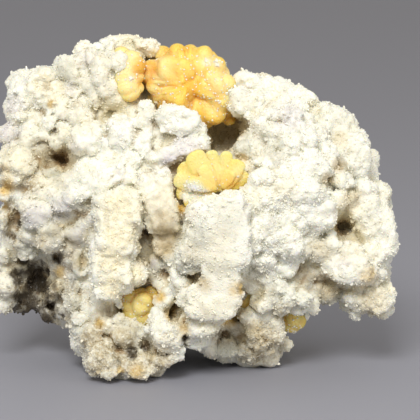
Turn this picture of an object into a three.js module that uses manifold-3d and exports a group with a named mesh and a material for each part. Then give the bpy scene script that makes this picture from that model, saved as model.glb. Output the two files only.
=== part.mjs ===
// A hand-sized stellerite specimen: golden stellerite rosettes on a white, knobbly matrix.
// Millimetres, +Z up. The specimen stands on the flats that are cut across its feet.
//
// The lumps are set out as they are seen from the front: across (to the right), up and near
// (towards the viewer). The viewer looks down a little, so the whole is then turned by
// VIEW_TILT to stand upright.
import * as THREE from "three";
import { mergeVertices } from "three/addons/utils/BufferGeometryUtils.js";
import Module from "manifold-3d";

// Driving dimensions.
const VIEW_TILT = 10; // degrees that the front view looks down
const FLOOR = -31.2; // height of the surface that the feet stand on, before the origin is set
const MATRIX_FACET = 3.25; // facet size on the matrix
const ROSETTE_FACET = 1.6; // facet size on the large rosette
const SMALL_ROSETTE_FACET = 1.5; // facet size on the smaller rosettes
const FAN_FACET = 1.2; // facet size on the fan
const MELT_SHARE = 0.3; // how far lumps melt into each other, as a share of a facet
const ROUGHNESS = 0.07; // how uneven a lump is, as a share of its size
const SOCKET_GAP = 0.5; // clear space between a rosette and the socket that it sits in
const BARELY = 0.1; // depth given to a sample that is filled or emptied to tidy the surface
const GOLDEN_ANGLE = Math.PI * (3 - Math.sqrt(5));

// Colours and finishes.
const MATRIX_WHITE = { color: 0xebe8dc, roughness: 0.75, metalness: 0 };
const STELLERITE_GOLD = { color: 0xe8b548, roughness: 0.4, metalness: 0 };
const STELLERITE_PALE = { color: 0xf2d787, roughness: 0.4, metalness: 0 };

// Each row is one lump: across, up, near, then its half width, half height and half depth,
// and, where it lies aslant, its turn in degrees, anticlockwise as seen.

// The body that the knobs grew from.
const BODY = [
  [0, 0, -4, 29, 23, 19],
  [-24, 8, -3, 14, 16, 14],
  [24, 0, -3, 13, 18, 14],
  [-13, 22, -3, 13, 9, 9],
  [14, 16, -3, 14, 8, 10],
  [-15, -19, 2, 9, 10, 12],
  [11, -20, 0, 8, 7, 10],
  [-33, -4, -4, 7, 17, 8],
  [32, -12, -1, 6, 8, 9],
];

// The left shoulder, up to the crest.
const LEFT_SHOULDER = [
  [-33, 23, 1, 6.1, 5.4, 7],
  [-37.2, 21, 1.5, 2.3, 3.6, 3.5],
  [-31, 26, 2.5, 3.4, 2.6, 4.5],
  [-34.4, 18.2, 3.6, 4, 2.6, 4.4],
  [-26.5, 27.4, 4.4, 2.3, 3.1, 3.6, 18],
  [-23.2, 31.4, 2.4, 1.9, 2.2, 3.4],
  [-20.2, 31.8, 2.4, 2, 2.3, 3.4],
  [-20, 27.4, 3, 5.1, 4.9, 7],
  [-24.2, 26.6, 3, 3, 3.4, 4.6],
  [-14.6, 33, -0.5, 4.2, 2.7, 5],
  [-10.4, 32.8, -1, 3, 1.8, 4],
  [-17.4, 29.4, 8, 2.2, 1.9, 3.4],
  [-18.4, 24.2, 6.4, 3.1, 2.9, 4.8],
  [-25.6, 22.2, 5.2, 3.6, 3.2, 5],
];

// The left flank, down to the slanting ridge.
const LEFT_FLANK = [
  [-23.6, 18.6, 8.8, 2.7, 2.1, 4.2],
  [-16, 15.2, 9.6, 3, 4, 5.6],
  [-10.6, 18.4, 8, 2.8, 3.5, 5],
  [-11.4, 13, 9.4, 2.4, 2.8, 4.6],
  [-22.4, 12.6, 8.4, 4.3, 4.5, 6.6],
  [-28, 18, 6.2, 3.2, 3.2, 5],
  [-30, 15.4, 6.4, 3.1, 2.1, 4.6],
  [-34, 15.6, 5.4, 3.3, 2.7, 4.6],
  [-38.2, 14.2, 3.4, 2.8, 2.9, 4],
  [-29.6, 13.2, 6.4, 3.4, 1.5, 4.4],
  [-29.8, 7.4, 5.6, 2.4, 1.9, 4.2],
  [-36.8, 8.4, 7.4, 5.6, 3.7, 5.4, -28],
  [-39, 4.6, 7, 2.5, 1.8, 4],
  [-37.4, 1.4, 4.6, 2.2, 2.1, 4],
  [-39.6, -2.4, 5, 1.7, 1.8, 3.6],
];

// The ridge that slants up from the left, and the glassy mass below it.
const SLANTING_RIDGE = [
  [-32.4, 0.8, 9.2, 4.1, 3.3, 5.6],
  [-27.6, 3.6, 10.4, 4.8, 3.5, 6.4],
  [-21.4, 6, 11, 5.2, 3.7, 6.8],
  [-15.8, 8.4, 10.6, 4.2, 3.7, 6.2],
  [-24.4, 1.2, 12, 3.2, 2.1, 4.8],
  [-19, 4.2, 13.4, 2.7, 1.8, 4.6],
  [-12, 7.8, 11, 2.8, 2.6, 4.8],
  [-26.4, -5.4, 7.6, 5.1, 3.8, 6.6],
  [-33.2, -7.6, 7.6, 4.4, 3.2, 4.8],
  [-30.2, -2.6, 8.8, 5, 2.6, 5.4],
  [-23.2, -9, 8.2, 2.2, 4.3, 5.2],
  [-22.2, -4.2, 10.8, 2, 3.1, 4.6],
  [-37.4, -5.6, 1.4, 2.4, 2.5, 4],
];

// The deep recess at the lower left, its far wall and what stands in it.
const LOWER_LEFT_RECESS = [
  [-25, -13.6, 5.2, 3.1, 3.3, 4.6],
  [-26, -19.2, 4.4, 3.3, 3.1, 4.6],
  [-22.2, -18, 6.2, 3.1, 3.9, 4.8],
  [-26.8, -23.4, 2.4, 2.1, 1.9, 3.6],
  [-29.6, -21.8, -4, 4.4, 2.3, 4],
  [-28.6, -15, 1, 1.8, 3.1, 3.6],
  [-36, -15, -1.4, 2, 3.6, 3.6],
  [-33, -18, -7.4, 4.6, 3.4, 4],
  [-39.2, -15.8, 3, 2.3, 4.4, 4.4],
  [-38.8, -10.2, 0.4, 2.2, 2.2, 4],
  [-36.6, -20, -2, 3.6, 1.9, 4.4],
];

// The cream column that stands out at the left of the front.
const CREAM_COLUMN = [
  [-16.6, -1, 14, 4.9, 4.4, 7],
  [-14, 2.2, 13.8, 3, 2.5, 5.8],
  [-16.6, -7.8, 13.8, 4.1, 4.5, 7],
  [-18, -14.2, 12.8, 3.6, 4.4, 7.4],
  [-13.4, -12.6, 14.4, 2.6, 2.3, 5.2],
  [-17.6, -17.6, 13, 2.3, 1.8, 5.4],
];

// The front foot, and the knobs that stand over it.
const FRONT_FOOT = [
  [-21.4, -26.4, 9.8, 3.2, 3.8, 5.8],
  [-19, -30.6, 11, 4.4, 3.7, 6.6],
  [-24.8, -25.8, 6, 2.4, 3.1, 4.6],
  [-14, -31.8, 13, 3.6, 2.2, 5.8],
  [-9.6, -30.8, 12.6, 3.5, 2, 5.6],
  [-5.8, -29.2, 12, 2.7, 1.6, 4.8],
  [-14, -26.4, 5.6, 6.2, 5, 6],
  [-18.4, -22.8, 10, 2, 2, 4],
  [-23, -22.2, 7.4, 2.5, 2, 4.6],
  [-19, -20, 7.4, 3.2, 2.8, 4.8],
  [-13.2, -24.2, 11.4, 3.6, 2.5, 5.4],
  [-6.8, -24.6, 13.2, 3.4, 3.4, 5.6],
  [-8, -20.4, 13, 1.9, 1.5, 4.2],
];

// The tapering glassy finger in the middle, and the knobs below it.
const GLASSY_FINGER = [
  [-8.8, 5.4, 14.4, 3.1, 2.7, 5.6],
  [-7.6, 0.8, 14.4, 3.5, 3.6, 6],
  [-7.4, -3.2, 12.4, 3.1, 3.8, 5.8],
  [-7.8, -6.8, 10.6, 2.3, 3, 4.6],
  [-10, -10.4, 9, 3, 2.6, 5.2],
  [-8, -14.8, 10.4, 2, 2.1, 4.4],
];

// The white mass in the middle, which stands furthest forward.
const WHITE_MASS = [
  [3.4, -1, 16, 6.8, 5, 9],
  [5.6, -7.4, 17, 4.3, 5.8, 8],
  [0.6, -6, 15, 5.4, 5, 8.4],
  [-3, -10.4, 14, 4.5, 3.5, 6.8],
  [1.2, -10.6, 16.4, 3.9, 2.7, 6.4],
  [-5.6, -12.8, 13.6, 2.2, 2.2, 5],
  [-2, -15.2, 13.4, 3.6, 2.3, 6.2],
  [2.6, -18, 14.8, 4.9, 4.2, 8],
  [5.2, -14.8, 17, 2.8, 3.6, 6.6],
  [-1.4, -18.2, 13, 2.7, 2.8, 6.4],
  [0.6, -23, 11.8, 3.5, 3.2, 6.6],
  [-0.6, -26, 10.6, 3.2, 2.4, 5],
];

// The knobs over and beside the middle fan.
const OVER_THE_FAN = [
  [-3.6, 17.4, 8.8, 5.1, 3.1, 6.8],
  [-2.8, 13, 10, 5.5, 2.4, 6.6, 14],
  [-8, 10.4, 9.4, 3.2, 2.2, 5],
  [9, 11.4, 10, 2.5, 4.2, 5.6],
  [11.6, 17.6, 7.4, 3, 2.2, 4.6],
];

// The right-hand crest, a row of small knobs and then two smooth lobes.
const RIGHT_CREST = [
  [9.4, 24.6, 0.6, 3.2, 3.4, 5.2],
  [9.4, 20.6, 5.6, 3.1, 2.8, 5.2],
  [13.8, 23.8, 2, 2.6, 2.8, 4.8],
  [17.8, 22.8, 3, 3, 2.4, 4.8],
  [21.6, 21.8, 2.8, 2.9, 2.1, 4.6],
  [19.4, 20.2, 5.6, 2.9, 1.9, 4.6],
  [26.4, 18.8, 4.2, 3.5, 3.2, 5.4],
  [29.2, 16.8, 3, 4.2, 4.4, 5.8],
  [31, 10, 4.6, 3.4, 4.5, 6.2],
  [27.4, 6, 10.2, 2.1, 1.8, 4.2],
  [35, 3.4, 3.4, 2.9, 2.7, 4.6],
];

// The broad rough lobes on the right of the front.
const RIGHT_LOBES = [
  [17, 14, 9.4, 6.8, 6.2, 8.4],
  [21.6, 9, 11, 5.2, 5.6, 7.8],
  [14, 4, 14, 5.7, 5.1, 8.2],
  [20, 3, 12.8, 4.3, 3.9, 7.2],
  [15.6, -5.4, 12, 7, 5.9, 8.8],
  [10.8, -1.2, 16, 3.3, 4.2, 6.8],
  [25, 0.4, 12, 4.2, 2.8, 5.8],
  [32.4, 1, 6, 4.7, 4, 6],
  [35.4, -5.8, 5.4, 5.2, 4.9, 6.4],
  [25, -7.4, 10, 4.7, 3.8, 5.8],
  [29.4, -11, 11.2, 5.7, 2.8, 5.6],
  [34, -12, 7.6, 3.6, 3.4, 5.2],
];

// The lower right, with the lobe that overhangs the surface.
const LOWER_RIGHT = [
  [35.6, -16.8, 3.4, 4.2, 4.6, 5.4],
  [31.2, -18.6, 6, 3.1, 3.4, 4.8],
  [36.6, -20.6, 2.6, 2, 2, 3.4],
  [26, -16, 3.4, 3.3, 3.1, 4.4],
  [15.6, -15.8, 9.8, 4.5, 3.9, 6],
  [21, -18.2, 9, 3, 2.8, 4.8],
  [9.6, -12.6, 13.4, 3.7, 2.3, 5.4],
  [13.6, -19.2, 10.2, 3, 1.8, 4.6],
  [21.6, -13, 6, 4, 3, 5],
];

// The right foot, set further back than the front one.
const RIGHT_FOOT = [
  [11.2, -23.4, 6.8, 3, 3.7, 5],
  [15.4, -24.6, 5.6, 2.7, 3.2, 4.4],
  [11.4, -29.6, 1, 7.6, 3.4, 6.4],
  [5.4, -27.4, -2.6, 3, 3.4, 4.4],
  [8, -24, 1, 2.8, 3.2, 5],
];

// The back: knobs spread evenly over the far side, and two feet under it.
const BACK_KNOBS = 40;
const BACK_SPREAD = [31.5, 22.5, 15];
const BACK_CENTRE = [0, 0.5, -7];
const BACK_KNOB_SIZES = [4.6, 5.8, 7];
const BACK_FEET = [
  [-10, -24.6, -15, 6, 6.6, 6],
  [13, -25, -14, 6, 6.2, 6],
];

// Hollows cut into the front, in the same form as the lumps.
const HOLLOWS = [
  [4.6, 14.2, 8, 4, 4, 13],
  [-28.6, 9.8, 12, 3.9, 2.3, 8],
  [28.4, -3.6, 12, 1.9, 1.8, 7],
  [-11.4, -28.4, 16, 3, 1.5, 4.5],
  [-33.4, -13.4, 7, 3.4, 6, 9],
];

// A rosette is one or more balls of crystal bundles, in the same form as the lumps.
const TOP_ROSETTE = [
  [-9.6, 27.2, 2, 3, 4.2, 5],
  [-4.2, 25.9, 2.6, 5.4, 7.6, 7.4],
  [3.2, 24.8, 3.2, 4.6, 8.6, 7.4, 16],
];
const UPPER_LEFT_ROSETTE = [
  [-15, 30.8, 5.4, 2.4, 2, 3.2],
  [-13.3, 28.2, 6, 2.5, 2.3, 3.4],
  [-13.8, 25, 6.4, 2.5, 2.3, 3.6],
];
const LOWER_LEFT_ROSETTE = [[-10.8, -19.6, 9, 4.7, 4, 6]];
const LOWER_RIGHT_ROSETTE = [[18.8, -21.4, 4, 3, 3.3, 3.8]];
const RECESS_ROSETTE = [[9.2, -18.6, 6.4, 3.6, 4.4, 4.4]];

// The crystal bundles that stand out all over a ball.
const BUNDLES_ON_LARGE_BALL = 26;
const BUNDLES_ON_SMALL_BALL = 12;
const LARGE_BALL = 4.5; // half height from which a ball counts as large
const HEART_SHARE = 0.8; // how much of a ball is solid under its bundles

// The middle fan: long crystal blades that spread from one root.
const FAN_ROOT = [4, 3.4, 16.4];
const FAN_BLADE_HALF_WIDTH = 2;
const FAN_BLADE_HALF_DEPTH = 2.8;
const FAN_BLADE_OVERLAP = 0.8; // how far each blade reaches back past the root
// Each blade's direction in degrees from across, and its length.
const FAN_BLADES = [
  [196, 8.6],
  [162, 9.8],
  [130, 9.8],
  [99, 9.4],
  [69, 9.2],
  [37, 8],
];

const manifold = await Module();
manifold.setup();

// A closed three.js geometry as a solid that can be joined and cut.
function toSolid(geometry) {
  const bare = geometry.clone();
  bare.deleteAttribute("normal");
  bare.deleteAttribute("uv");
  const merged = mergeVertices(bare, 1e-4);
  const mesh = new manifold.Mesh({
    numProp: 3,
    vertProperties: new Float32Array(merged.attributes.position.array),
    triVerts: new Uint32Array(merged.index.array),
  });
  return new manifold.Manifold(mesh);
}

// A solid as a three.js geometry with flat facets.
function toGeometry(solid) {
  const mesh = solid.getMesh();
  const geometry = new THREE.BufferGeometry();
  geometry.setAttribute("position", new THREE.BufferAttribute(mesh.vertProperties, 3));
  geometry.setIndex(new THREE.BufferAttribute(mesh.triVerts, 1));
  const faceted = geometry.toNonIndexed();
  faceted.computeVertexNormals();
  return faceted;
}

function join(solids) {
  return solids.reduce((whole, solid) => whole.add(solid));
}

// The largest body of a solid: crumbs that a cut leaves loose are dropped.
function largestBody(solid) {
  return solid.decompose().reduce((a, b) => (a.volume() > b.volume() ? a : b));
}

// A slow ripple over directions, between about -1 and 1, that differs for each seed.
function ripple(x, y, z, seed) {
  const first = Math.sin(3.1 * x + 1.7 * seed) * Math.cos(2.7 * y - 2.3 * seed);
  const second = Math.sin(3.7 * z + 0.9 * seed) * Math.cos(4.3 * x + 1.1 * seed);
  const third = Math.sin(5.3 * y - 0.7 * seed + 2.1 * z);
  return 0.45 * first + 0.35 * second + 0.3 * third;
}

// Turns what is laid out as seen from the front into the part's own frame.
const STAND_UPRIGHT = new THREE.Matrix4().makeRotationX(
  THREE.MathUtils.degToRad(90 - VIEW_TILT),
);

// Directions spread evenly over a ball.
function evenDirections(count) {
  return Array.from({ length: count }, (_, i) => {
    const away = 1 - (2 * (i + 0.5)) / count;
    const ring = Math.sqrt(1 - away * away);
    const angle = i * GOLDEN_ANGLE;
    return [ring * Math.cos(angle), ring * Math.sin(angle), away];
  });
}

// Knobs spread over the far side, which is the second half of the even directions.
function backKnobs() {
  const directions = evenDirections(2 * BACK_KNOBS).slice(BACK_KNOBS);
  return directions.map((direction, i) => {
    const place = direction.map((d, axis) => BACK_CENTRE[axis] + d * BACK_SPREAD[axis]);
    const size = BACK_KNOB_SIZES[i % BACK_KNOB_SIZES.length];
    return [...place, size, size, size];
  });
}

// A ball's solid heart and the crystal bundles that stand out all over it.
function bundledBall([across, up, near, halfWidth, halfHeight, halfDepth, turn = 0]) {
  const count = halfHeight > LARGE_BALL ? BUNDLES_ON_LARGE_BALL : BUNDLES_ON_SMALL_BALL;
  const bundleShare = 1.5 / Math.sqrt(count);
  const halfSizes = new THREE.Vector3(halfWidth, halfHeight, halfDepth);
  const upright = new THREE.Vector3(0, 0, 1);
  const lumpAt = (offset, share) => {
    const place = offset.multiply(halfSizes);
    place.applyAxisAngle(upright, THREE.MathUtils.degToRad(turn));
    place.add(new THREE.Vector3(across, up, near));
    return [...place, ...halfSizes.clone().multiplyScalar(share), turn];
  };
  const bundles = evenDirections(count).map((direction) => {
    const offset = new THREE.Vector3(...direction).multiplyScalar(1 - bundleShare);
    return lumpAt(offset, bundleShare);
  });
  return [lumpAt(new THREE.Vector3(), HEART_SHARE), ...bundles];
}

// The fan's blades, each a long flat crystal bundle with a rounded end.
function fanBlades() {
  return FAN_BLADES.map(([degrees, length]) => {
    const direction = THREE.MathUtils.degToRad(degrees);
    const reach = length / 2 - FAN_BLADE_OVERLAP;
    return [
      FAN_ROOT[0] + reach * Math.cos(direction),
      FAN_ROOT[1] + reach * Math.sin(direction),
      FAN_ROOT[2],
      length / 2,
      FAN_BLADE_HALF_WIDTH,
      FAN_BLADE_HALF_DEPTH,
      degrees,
    ];
  });
}

// A function that tells how far a place is outside a lump (below zero inside it).
function lumpField(row, seed) {
  const [across, up, near, halfWidth, halfHeight, halfDepth, turn = 0] = row;
  const cos = Math.cos(THREE.MathUtils.degToRad(turn));
  const sin = Math.sin(THREE.MathUtils.degToRad(turn));
  return (x, y, z) => {
    const dx = x - across;
    const dy = y - up;
    const u = (dx * cos + dy * sin) / halfWidth;
    const v = (dy * cos - dx * sin) / halfHeight;
    const w = (z - near) / halfDepth;
    const reach = Math.hypot(u, v, w);
    if (reach === 0) return -Math.min(halfWidth, halfHeight, halfDepth);
    const steepness = Math.hypot(u / halfWidth, v / halfHeight, w / halfDepth) / reach;
    const bulge = 1 + ROUGHNESS * ripple(u / reach, v / reach, w / reach, seed);
    return (reach - bulge) / steepness;
  };
}

// The lesser of two distances, rounded off where they differ by less than a melting length.
function melt(a, b, length) {
  const blend = Math.max(length - Math.abs(a - b), 0) / length;
  return Math.min(a, b) - (blend * blend * length) / 4;
}

// How far a place is outside a heap of lumps that has hollows cut into it.
function heapField(rows, hollowRows, length) {
  const lumps = rows.map(lumpField);
  const hollows = hollowRows.map(lumpField);
  return (x, y, z) => {
    let distance = Infinity;
    for (const lump of lumps) distance = melt(distance, lump(x, y, z), length);
    for (const hollow of hollows) distance = -melt(-distance, hollow(x, y, z), length);
    return distance;
  };
}

// A grid of samples of a field. A sample is inside the body where it is below zero.
class SampledField {
  constructor(field, low, high, step) {
    this.low = low;
    this.step = step;
    this.counts = low.map((from, axis) => Math.ceil((high[axis] - from) / step) + 1);
    this.strides = [1, this.counts[0], this.counts[0] * this.counts[1]];
    this.values = new Float64Array(this.counts[0] * this.counts[1] * this.counts[2]);
    this.eachPoint((i, j, k) => {
      this.values[this.index(i, j, k)] = field(...this.place(i, j, k));
    });
  }

  index(i, j, k) {
    return i + j * this.strides[1] + k * this.strides[2];
  }

  place(i, j, k) {
    return [i, j, k].map((steps, axis) => this.low[axis] + steps * this.step);
  }

  // Visits the samples, leaving out as many of the last ones on each axis as margin says.
  eachPoint(visit, margin = 0) {
    const [nx, ny, nz] = this.counts.map((count) => count - margin);
    for (let k = 0; k < nz; k++)
      for (let j = 0; j < ny; j++)
        for (let i = 0; i < nx; i++) visit(i, j, k);
  }

  // Visits each cell with the eight samples at its corners.
  eachCell(visit) {
    const [, sy, sz] = this.strides;
    const corners = [0, 1, sy, sy + 1, sz, sz + 1, sz + sy, sz + sy + 1];
    this.eachPoint((i, j, k) => {
      const first = this.index(i, j, k);
      visit(i, j, k, corners.map((corner) => first + corner));
    }, 1);
  }

  // The samples that join up with a starting one through samples of the same kind.
  regionFrom(start, isSame) {
    const region = new Uint8Array(this.values.length);
    const queue = [start];
    region[start] = 1;
    while (queue.length > 0) {
      const at = queue.pop();
      for (let axis = 0; axis < 3; axis++) {
        const steps = Math.floor(at / this.strides[axis]) % this.counts[axis];
        for (const side of [-1, 1]) {
          const next = at + side * this.strides[axis];
          const within = steps + side >= 0 && steps + side < this.counts[axis];
          if (!within || region[next] || !isSame(next)) continue;
          region[next] = 1;
          queue.push(next);
        }
      }
    }
    return region;
  }
}

// The neighbours, along a cell's edges, of each of its eight corners.
const CORNER_NEIGHBOURS = Array.from({ length: 8 }, (_, corner) => [
  corner ^ 1,
  corner ^ 2,
  corner ^ 4,
]);

// True where the marked corners of a cell hang together along its edges.
function hangTogether(marked) {
  const seen = new Set();
  const queue = [marked.indexOf(true)];
  while (queue.length > 0) {
    const corner = queue.pop();
    if (!marked[corner] || seen.has(corner)) continue;
    seen.add(corner);
    queue.push(...CORNER_NEIGHBOURS[corner]);
  }
  return seen.size === marked.filter(Boolean).length;
}

// Fills samples until the surface through every cell is a single sheet.
function makeSingleSheets(grid) {
  const { values } = grid;
  let changed = true;
  while (changed) {
    changed = false;
    grid.eachCell((i, j, k, corners) => {
      const inside = corners.map((corner) => values[corner] < 0);
      const outside = inside.map((is) => !is);
      if (hangTogether(inside) && hangTogether(outside)) return;
      const open = corners.filter((corner) => values[corner] >= 0);
      const nearest = open.reduce((a, b) => (values[a] < values[b] ? a : b));
      values[nearest] = -BARELY;
      changed = true;
    });
  }
}

// Keeps the one body around the deepest sample, and fills whatever is sealed inside it.
function keepOneBody(grid) {
  const { values } = grid;
  const deepest = values.indexOf(values.reduce((a, b) => Math.min(a, b)));
  const body = grid.regionFrom(deepest, (at) => values[at] < 0);
  const open = grid.regionFrom(0, (at) => !body[at]);
  for (let at = 0; at < values.length; at++) {
    if (open[at] && values[at] < 0) values[at] = BARELY;
    if (!open[at] && values[at] >= 0) values[at] = -BARELY;
  }
}

// The middle of the places where a cell's edges pass the surface, if any do.
function middleOfCrossings(grid, cell, corners) {
  const sum = new THREE.Vector3();
  let crossings = 0;
  for (let a = 0; a < 8; a++) {
    for (const b of CORNER_NEIGHBOURS[a]) {
      const from = grid.values[corners[a]];
      const to = grid.values[corners[b]];
      if (b < a || from < 0 === to < 0) continue;
      const share = from / (from - to);
      const along = [1, 2, 4].map((bit) => (a & bit ? 1 : b & bit ? share : 0));
      sum.add(new THREE.Vector3(...along));
      crossings += 1;
    }
  }
  if (crossings === 0) return null;
  return sum.multiplyScalar(grid.step / crossings).add(new THREE.Vector3(...grid.place(...cell)));
}

// The closed surface where a sampled field is zero: one point in each cell that it passes,
// and a four-sided facet, split in two, across each grid line that it crosses.
function surfaceOf(grid) {
  const points = [];
  const pointOfCell = new Map();
  grid.eachCell((i, j, k, corners) => {
    const point = middleOfCrossings(grid, [i, j, k], corners);
    if (point) pointOfCell.set(corners[0], points.push(point) - 1);
  });
  const triangles = [];
  grid.eachPoint((i, j, k) => {
    const at = grid.index(i, j, k);
    const isInside = grid.values[at] < 0;
    for (let axis = 0; axis < 3; axis++) {
      if (isInside === grid.values[at + grid.strides[axis]] < 0) continue;
      const one = grid.strides[(axis + 1) % 3];
      const other = grid.strides[(axis + 2) % 3];
      const cells = [at, at - one, at - one - other, at - other];
      const [a, b, c, d] = cells.map((cell) => pointOfCell.get(cell));
      const halves =
        points[a].distanceTo(points[c]) < points[b].distanceTo(points[d])
          ? [[a, b, c], [a, c, d]]
          : [[b, c, d], [b, d, a]];
      for (const half of halves) triangles.push(...(isInside ? half : half.reverse()));
    }
  }, 1);
  const geometry = new THREE.BufferGeometry().setFromPoints(points);
  geometry.setIndex(triangles);
  return geometry;
}

// A heap of lumps melted into one solid, in the part's own frame.
function meltedHeap(rows, hollowRows, facet) {
  const reach = 1.2; // covers an uneven lump's bulges
  const sides = [0, 1, 2].map((axis) =>
    rows.flatMap((row) => {
      const half = Math.max(row[3], row[4], row[5]) * reach;
      return [row[axis] - half, row[axis] + half];
    }),
  );
  const low = sides.map((ends) => Math.min(...ends) - 2 * facet);
  const high = sides.map((ends) => Math.max(...ends) + 2 * facet);
  const field = heapField(rows, hollowRows, MELT_SHARE * facet);
  const grid = new SampledField(field, low, high, facet);
  makeSingleSheets(grid);
  keepOneBody(grid);
  const geometry = surfaceOf(grid);
  geometry.applyMatrix4(STAND_UPRIGHT);
  return toSolid(geometry);
}

// Everything below the surface that the feet stand on.
function belowFloor() {
  const reach = 200; // larger than the specimen
  const slab = new THREE.BoxGeometry(reach, reach, reach);
  slab.translate(0, 0, FLOOR - reach / 2);
  return toSolid(slab);
}

// The plain hollow that a rosette sits in, a little wider than its balls or blades.
function socket(rows) {
  const facetAllowance = 1.05; // keeps the middles of the hollow's facets out of the gap
  const hollows = rows.map(([across, up, near, halfWidth, halfHeight, halfDepth, turn = 0]) => {
    const hollow = new THREE.IcosahedronGeometry(facetAllowance, 2);
    hollow.scale(halfWidth + SOCKET_GAP, halfHeight + SOCKET_GAP, halfDepth + SOCKET_GAP);
    hollow.rotateZ(THREE.MathUtils.degToRad(turn));
    hollow.translate(across, up, near);
    hollow.applyMatrix4(STAND_UPRIGHT);
    return toSolid(hollow);
  });
  return join(hollows);
}

function rosette(balls, facet) {
  return meltedHeap(balls.flatMap(bundledBall), [], facet);
}

const MATRIX_LUMPS = [
  ...BODY,
  ...LEFT_SHOULDER,
  ...LEFT_FLANK,
  ...SLANTING_RIDGE,
  ...LOWER_LEFT_RECESS,
  ...CREAM_COLUMN,
  ...FRONT_FOOT,
  ...GLASSY_FINGER,
  ...WHITE_MASS,
  ...OVER_THE_FAN,
  ...RIGHT_CREST,
  ...RIGHT_LOBES,
  ...LOWER_RIGHT,
  ...RIGHT_FOOT,
  ...backKnobs(),
  ...BACK_FEET,
];
const SEATED = [
  TOP_ROSETTE,
  UPPER_LEFT_ROSETTE,
  fanBlades(),
  LOWER_LEFT_ROSETTE,
  LOWER_RIGHT_ROSETTE,
  RECESS_ROSETTE,
];

const uncut = meltedHeap(MATRIX_LUMPS, HOLLOWS, MATRIX_FACET);
const matrix = uncut.subtract(join(SEATED.map(socket))).subtract(belowFloor());
const topRosette = rosette(TOP_ROSETTE, ROSETTE_FACET);
const besideTop = rosette(UPPER_LEFT_ROSETTE, SMALL_ROSETTE_FACET);
const fan = meltedHeap(fanBlades(), [], FAN_FACET);

const specimen = new THREE.Group();

function addPiece(name, solid, finish) {
  const material = new THREE.MeshStandardMaterial({ ...finish, flatShading: true });
  const mesh = new THREE.Mesh(toGeometry(largestBody(solid)), material);
  mesh.name = name;
  specimen.add(mesh);
}

addPiece("matrix", matrix, MATRIX_WHITE);
addPiece("top_rosette", topRosette, STELLERITE_GOLD);
addPiece("upper_left_rosette", besideTop.subtract(socket(TOP_ROSETTE)), STELLERITE_PALE);
addPiece("middle_fan", fan, STELLERITE_PALE);
addPiece("lower_left_rosette", rosette(LOWER_LEFT_ROSETTE, SMALL_ROSETTE_FACET), STELLERITE_GOLD);
addPiece("lower_right_rosette", rosette(LOWER_RIGHT_ROSETTE, SMALL_ROSETTE_FACET), STELLERITE_GOLD);
addPiece("recess_rosette", rosette(RECESS_ROSETTE, SMALL_ROSETTE_FACET), STELLERITE_GOLD);

// The origin is on the standing surface, under the middle of the specimen.
const extent = new THREE.Box3().setFromObject(specimen);
const middle = extent.getCenter(new THREE.Vector3());
specimen.position.set(-middle.x, -middle.y, -FLOOR);

export default specimen;
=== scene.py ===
"""A hand-sized stellerite specimen: golden rosettes on a white, knobbly, sugary matrix."""
import math
import random

import bpy
from mathutils import Matrix, Vector
from mathutils.bvhtree import BVHTree
from mathutils.kdtree import KDTree


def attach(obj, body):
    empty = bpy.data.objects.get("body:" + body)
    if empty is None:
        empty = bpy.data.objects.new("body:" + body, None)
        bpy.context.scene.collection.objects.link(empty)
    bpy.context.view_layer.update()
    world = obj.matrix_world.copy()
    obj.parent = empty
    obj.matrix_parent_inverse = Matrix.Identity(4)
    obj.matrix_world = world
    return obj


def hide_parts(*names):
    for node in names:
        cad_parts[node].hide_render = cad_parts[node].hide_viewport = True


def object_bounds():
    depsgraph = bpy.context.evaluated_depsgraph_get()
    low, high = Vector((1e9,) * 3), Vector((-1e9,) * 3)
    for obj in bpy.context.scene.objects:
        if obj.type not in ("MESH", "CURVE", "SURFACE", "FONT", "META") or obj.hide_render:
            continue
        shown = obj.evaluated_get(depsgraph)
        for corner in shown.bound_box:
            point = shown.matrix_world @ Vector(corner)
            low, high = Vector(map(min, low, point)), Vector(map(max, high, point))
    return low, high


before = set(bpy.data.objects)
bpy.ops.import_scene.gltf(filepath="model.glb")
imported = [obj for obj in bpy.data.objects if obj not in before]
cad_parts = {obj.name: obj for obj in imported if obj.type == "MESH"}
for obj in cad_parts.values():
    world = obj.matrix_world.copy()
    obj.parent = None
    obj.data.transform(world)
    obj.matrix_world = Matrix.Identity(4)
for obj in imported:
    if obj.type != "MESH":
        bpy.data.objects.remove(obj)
cad_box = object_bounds()

MM = 0.001

# The photographed view: it looks down a little on the specimen's front.
VIEW_TILT = math.radians(10)
VIEW_ORIGIN = Vector((0.69, -0.78, 31.2)) * MM  # where the view's own origin lies in the part
VIEW_DISTANCE = 500 * MM
VIEW_ASIDE = 2.2 * MM  # how far the view's middle lies to the right of that origin
VIEW_LOWER = 0.2 * MM  # and below it
FOCAL_PIXELS = 2460
IMAGE_SIZE = 420
SENSOR_WIDTH = 36
CLIP_START = 0.01
ACROSS = Vector((1, 0, 0))
UP = Vector((0, math.sin(VIEW_TILT), math.cos(VIEW_TILT)))
NEAR = Vector((0, -math.cos(VIEW_TILT), math.sin(VIEW_TILT)))
EYE = VIEW_ORIGIN + ACROSS * VIEW_ASIDE - UP * VIEW_LOWER + NEAR * VIEW_DISTANCE
PIXEL = VIEW_DISTANCE / FOCAL_PIXELS  # one pixel's length on the stone

# Voxel sizes of the stone's skins. A crust and the heart have three each: with their lumps melted
# together, after the pits are cut, and with their knobs.
ROUGH_VOXEL = 0.75 * MM
PIT_VOXEL = 0.4 * MM
CRUST_VOXELS = (0.4 * MM, 0.26 * MM, 0.23 * MM)
HEART_VOXELS = (0.6 * MM, 0.5 * MM, 0.42 * MM)
BED_VOXEL = 0.4 * MM  # the skin that the small crystals stand on
SHELTER_VOXEL = 0.8 * MM  # the skin that tells how sheltered a place is
ROSETTE_VOXEL = 0.17 * MM
MERGE_DISTANCE = 0.01 * MM

# How many triangles a piece keeps at most.
SKIN_TRIANGLES = 190000
ROSETTE_TRIANGLES = 180000

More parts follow.
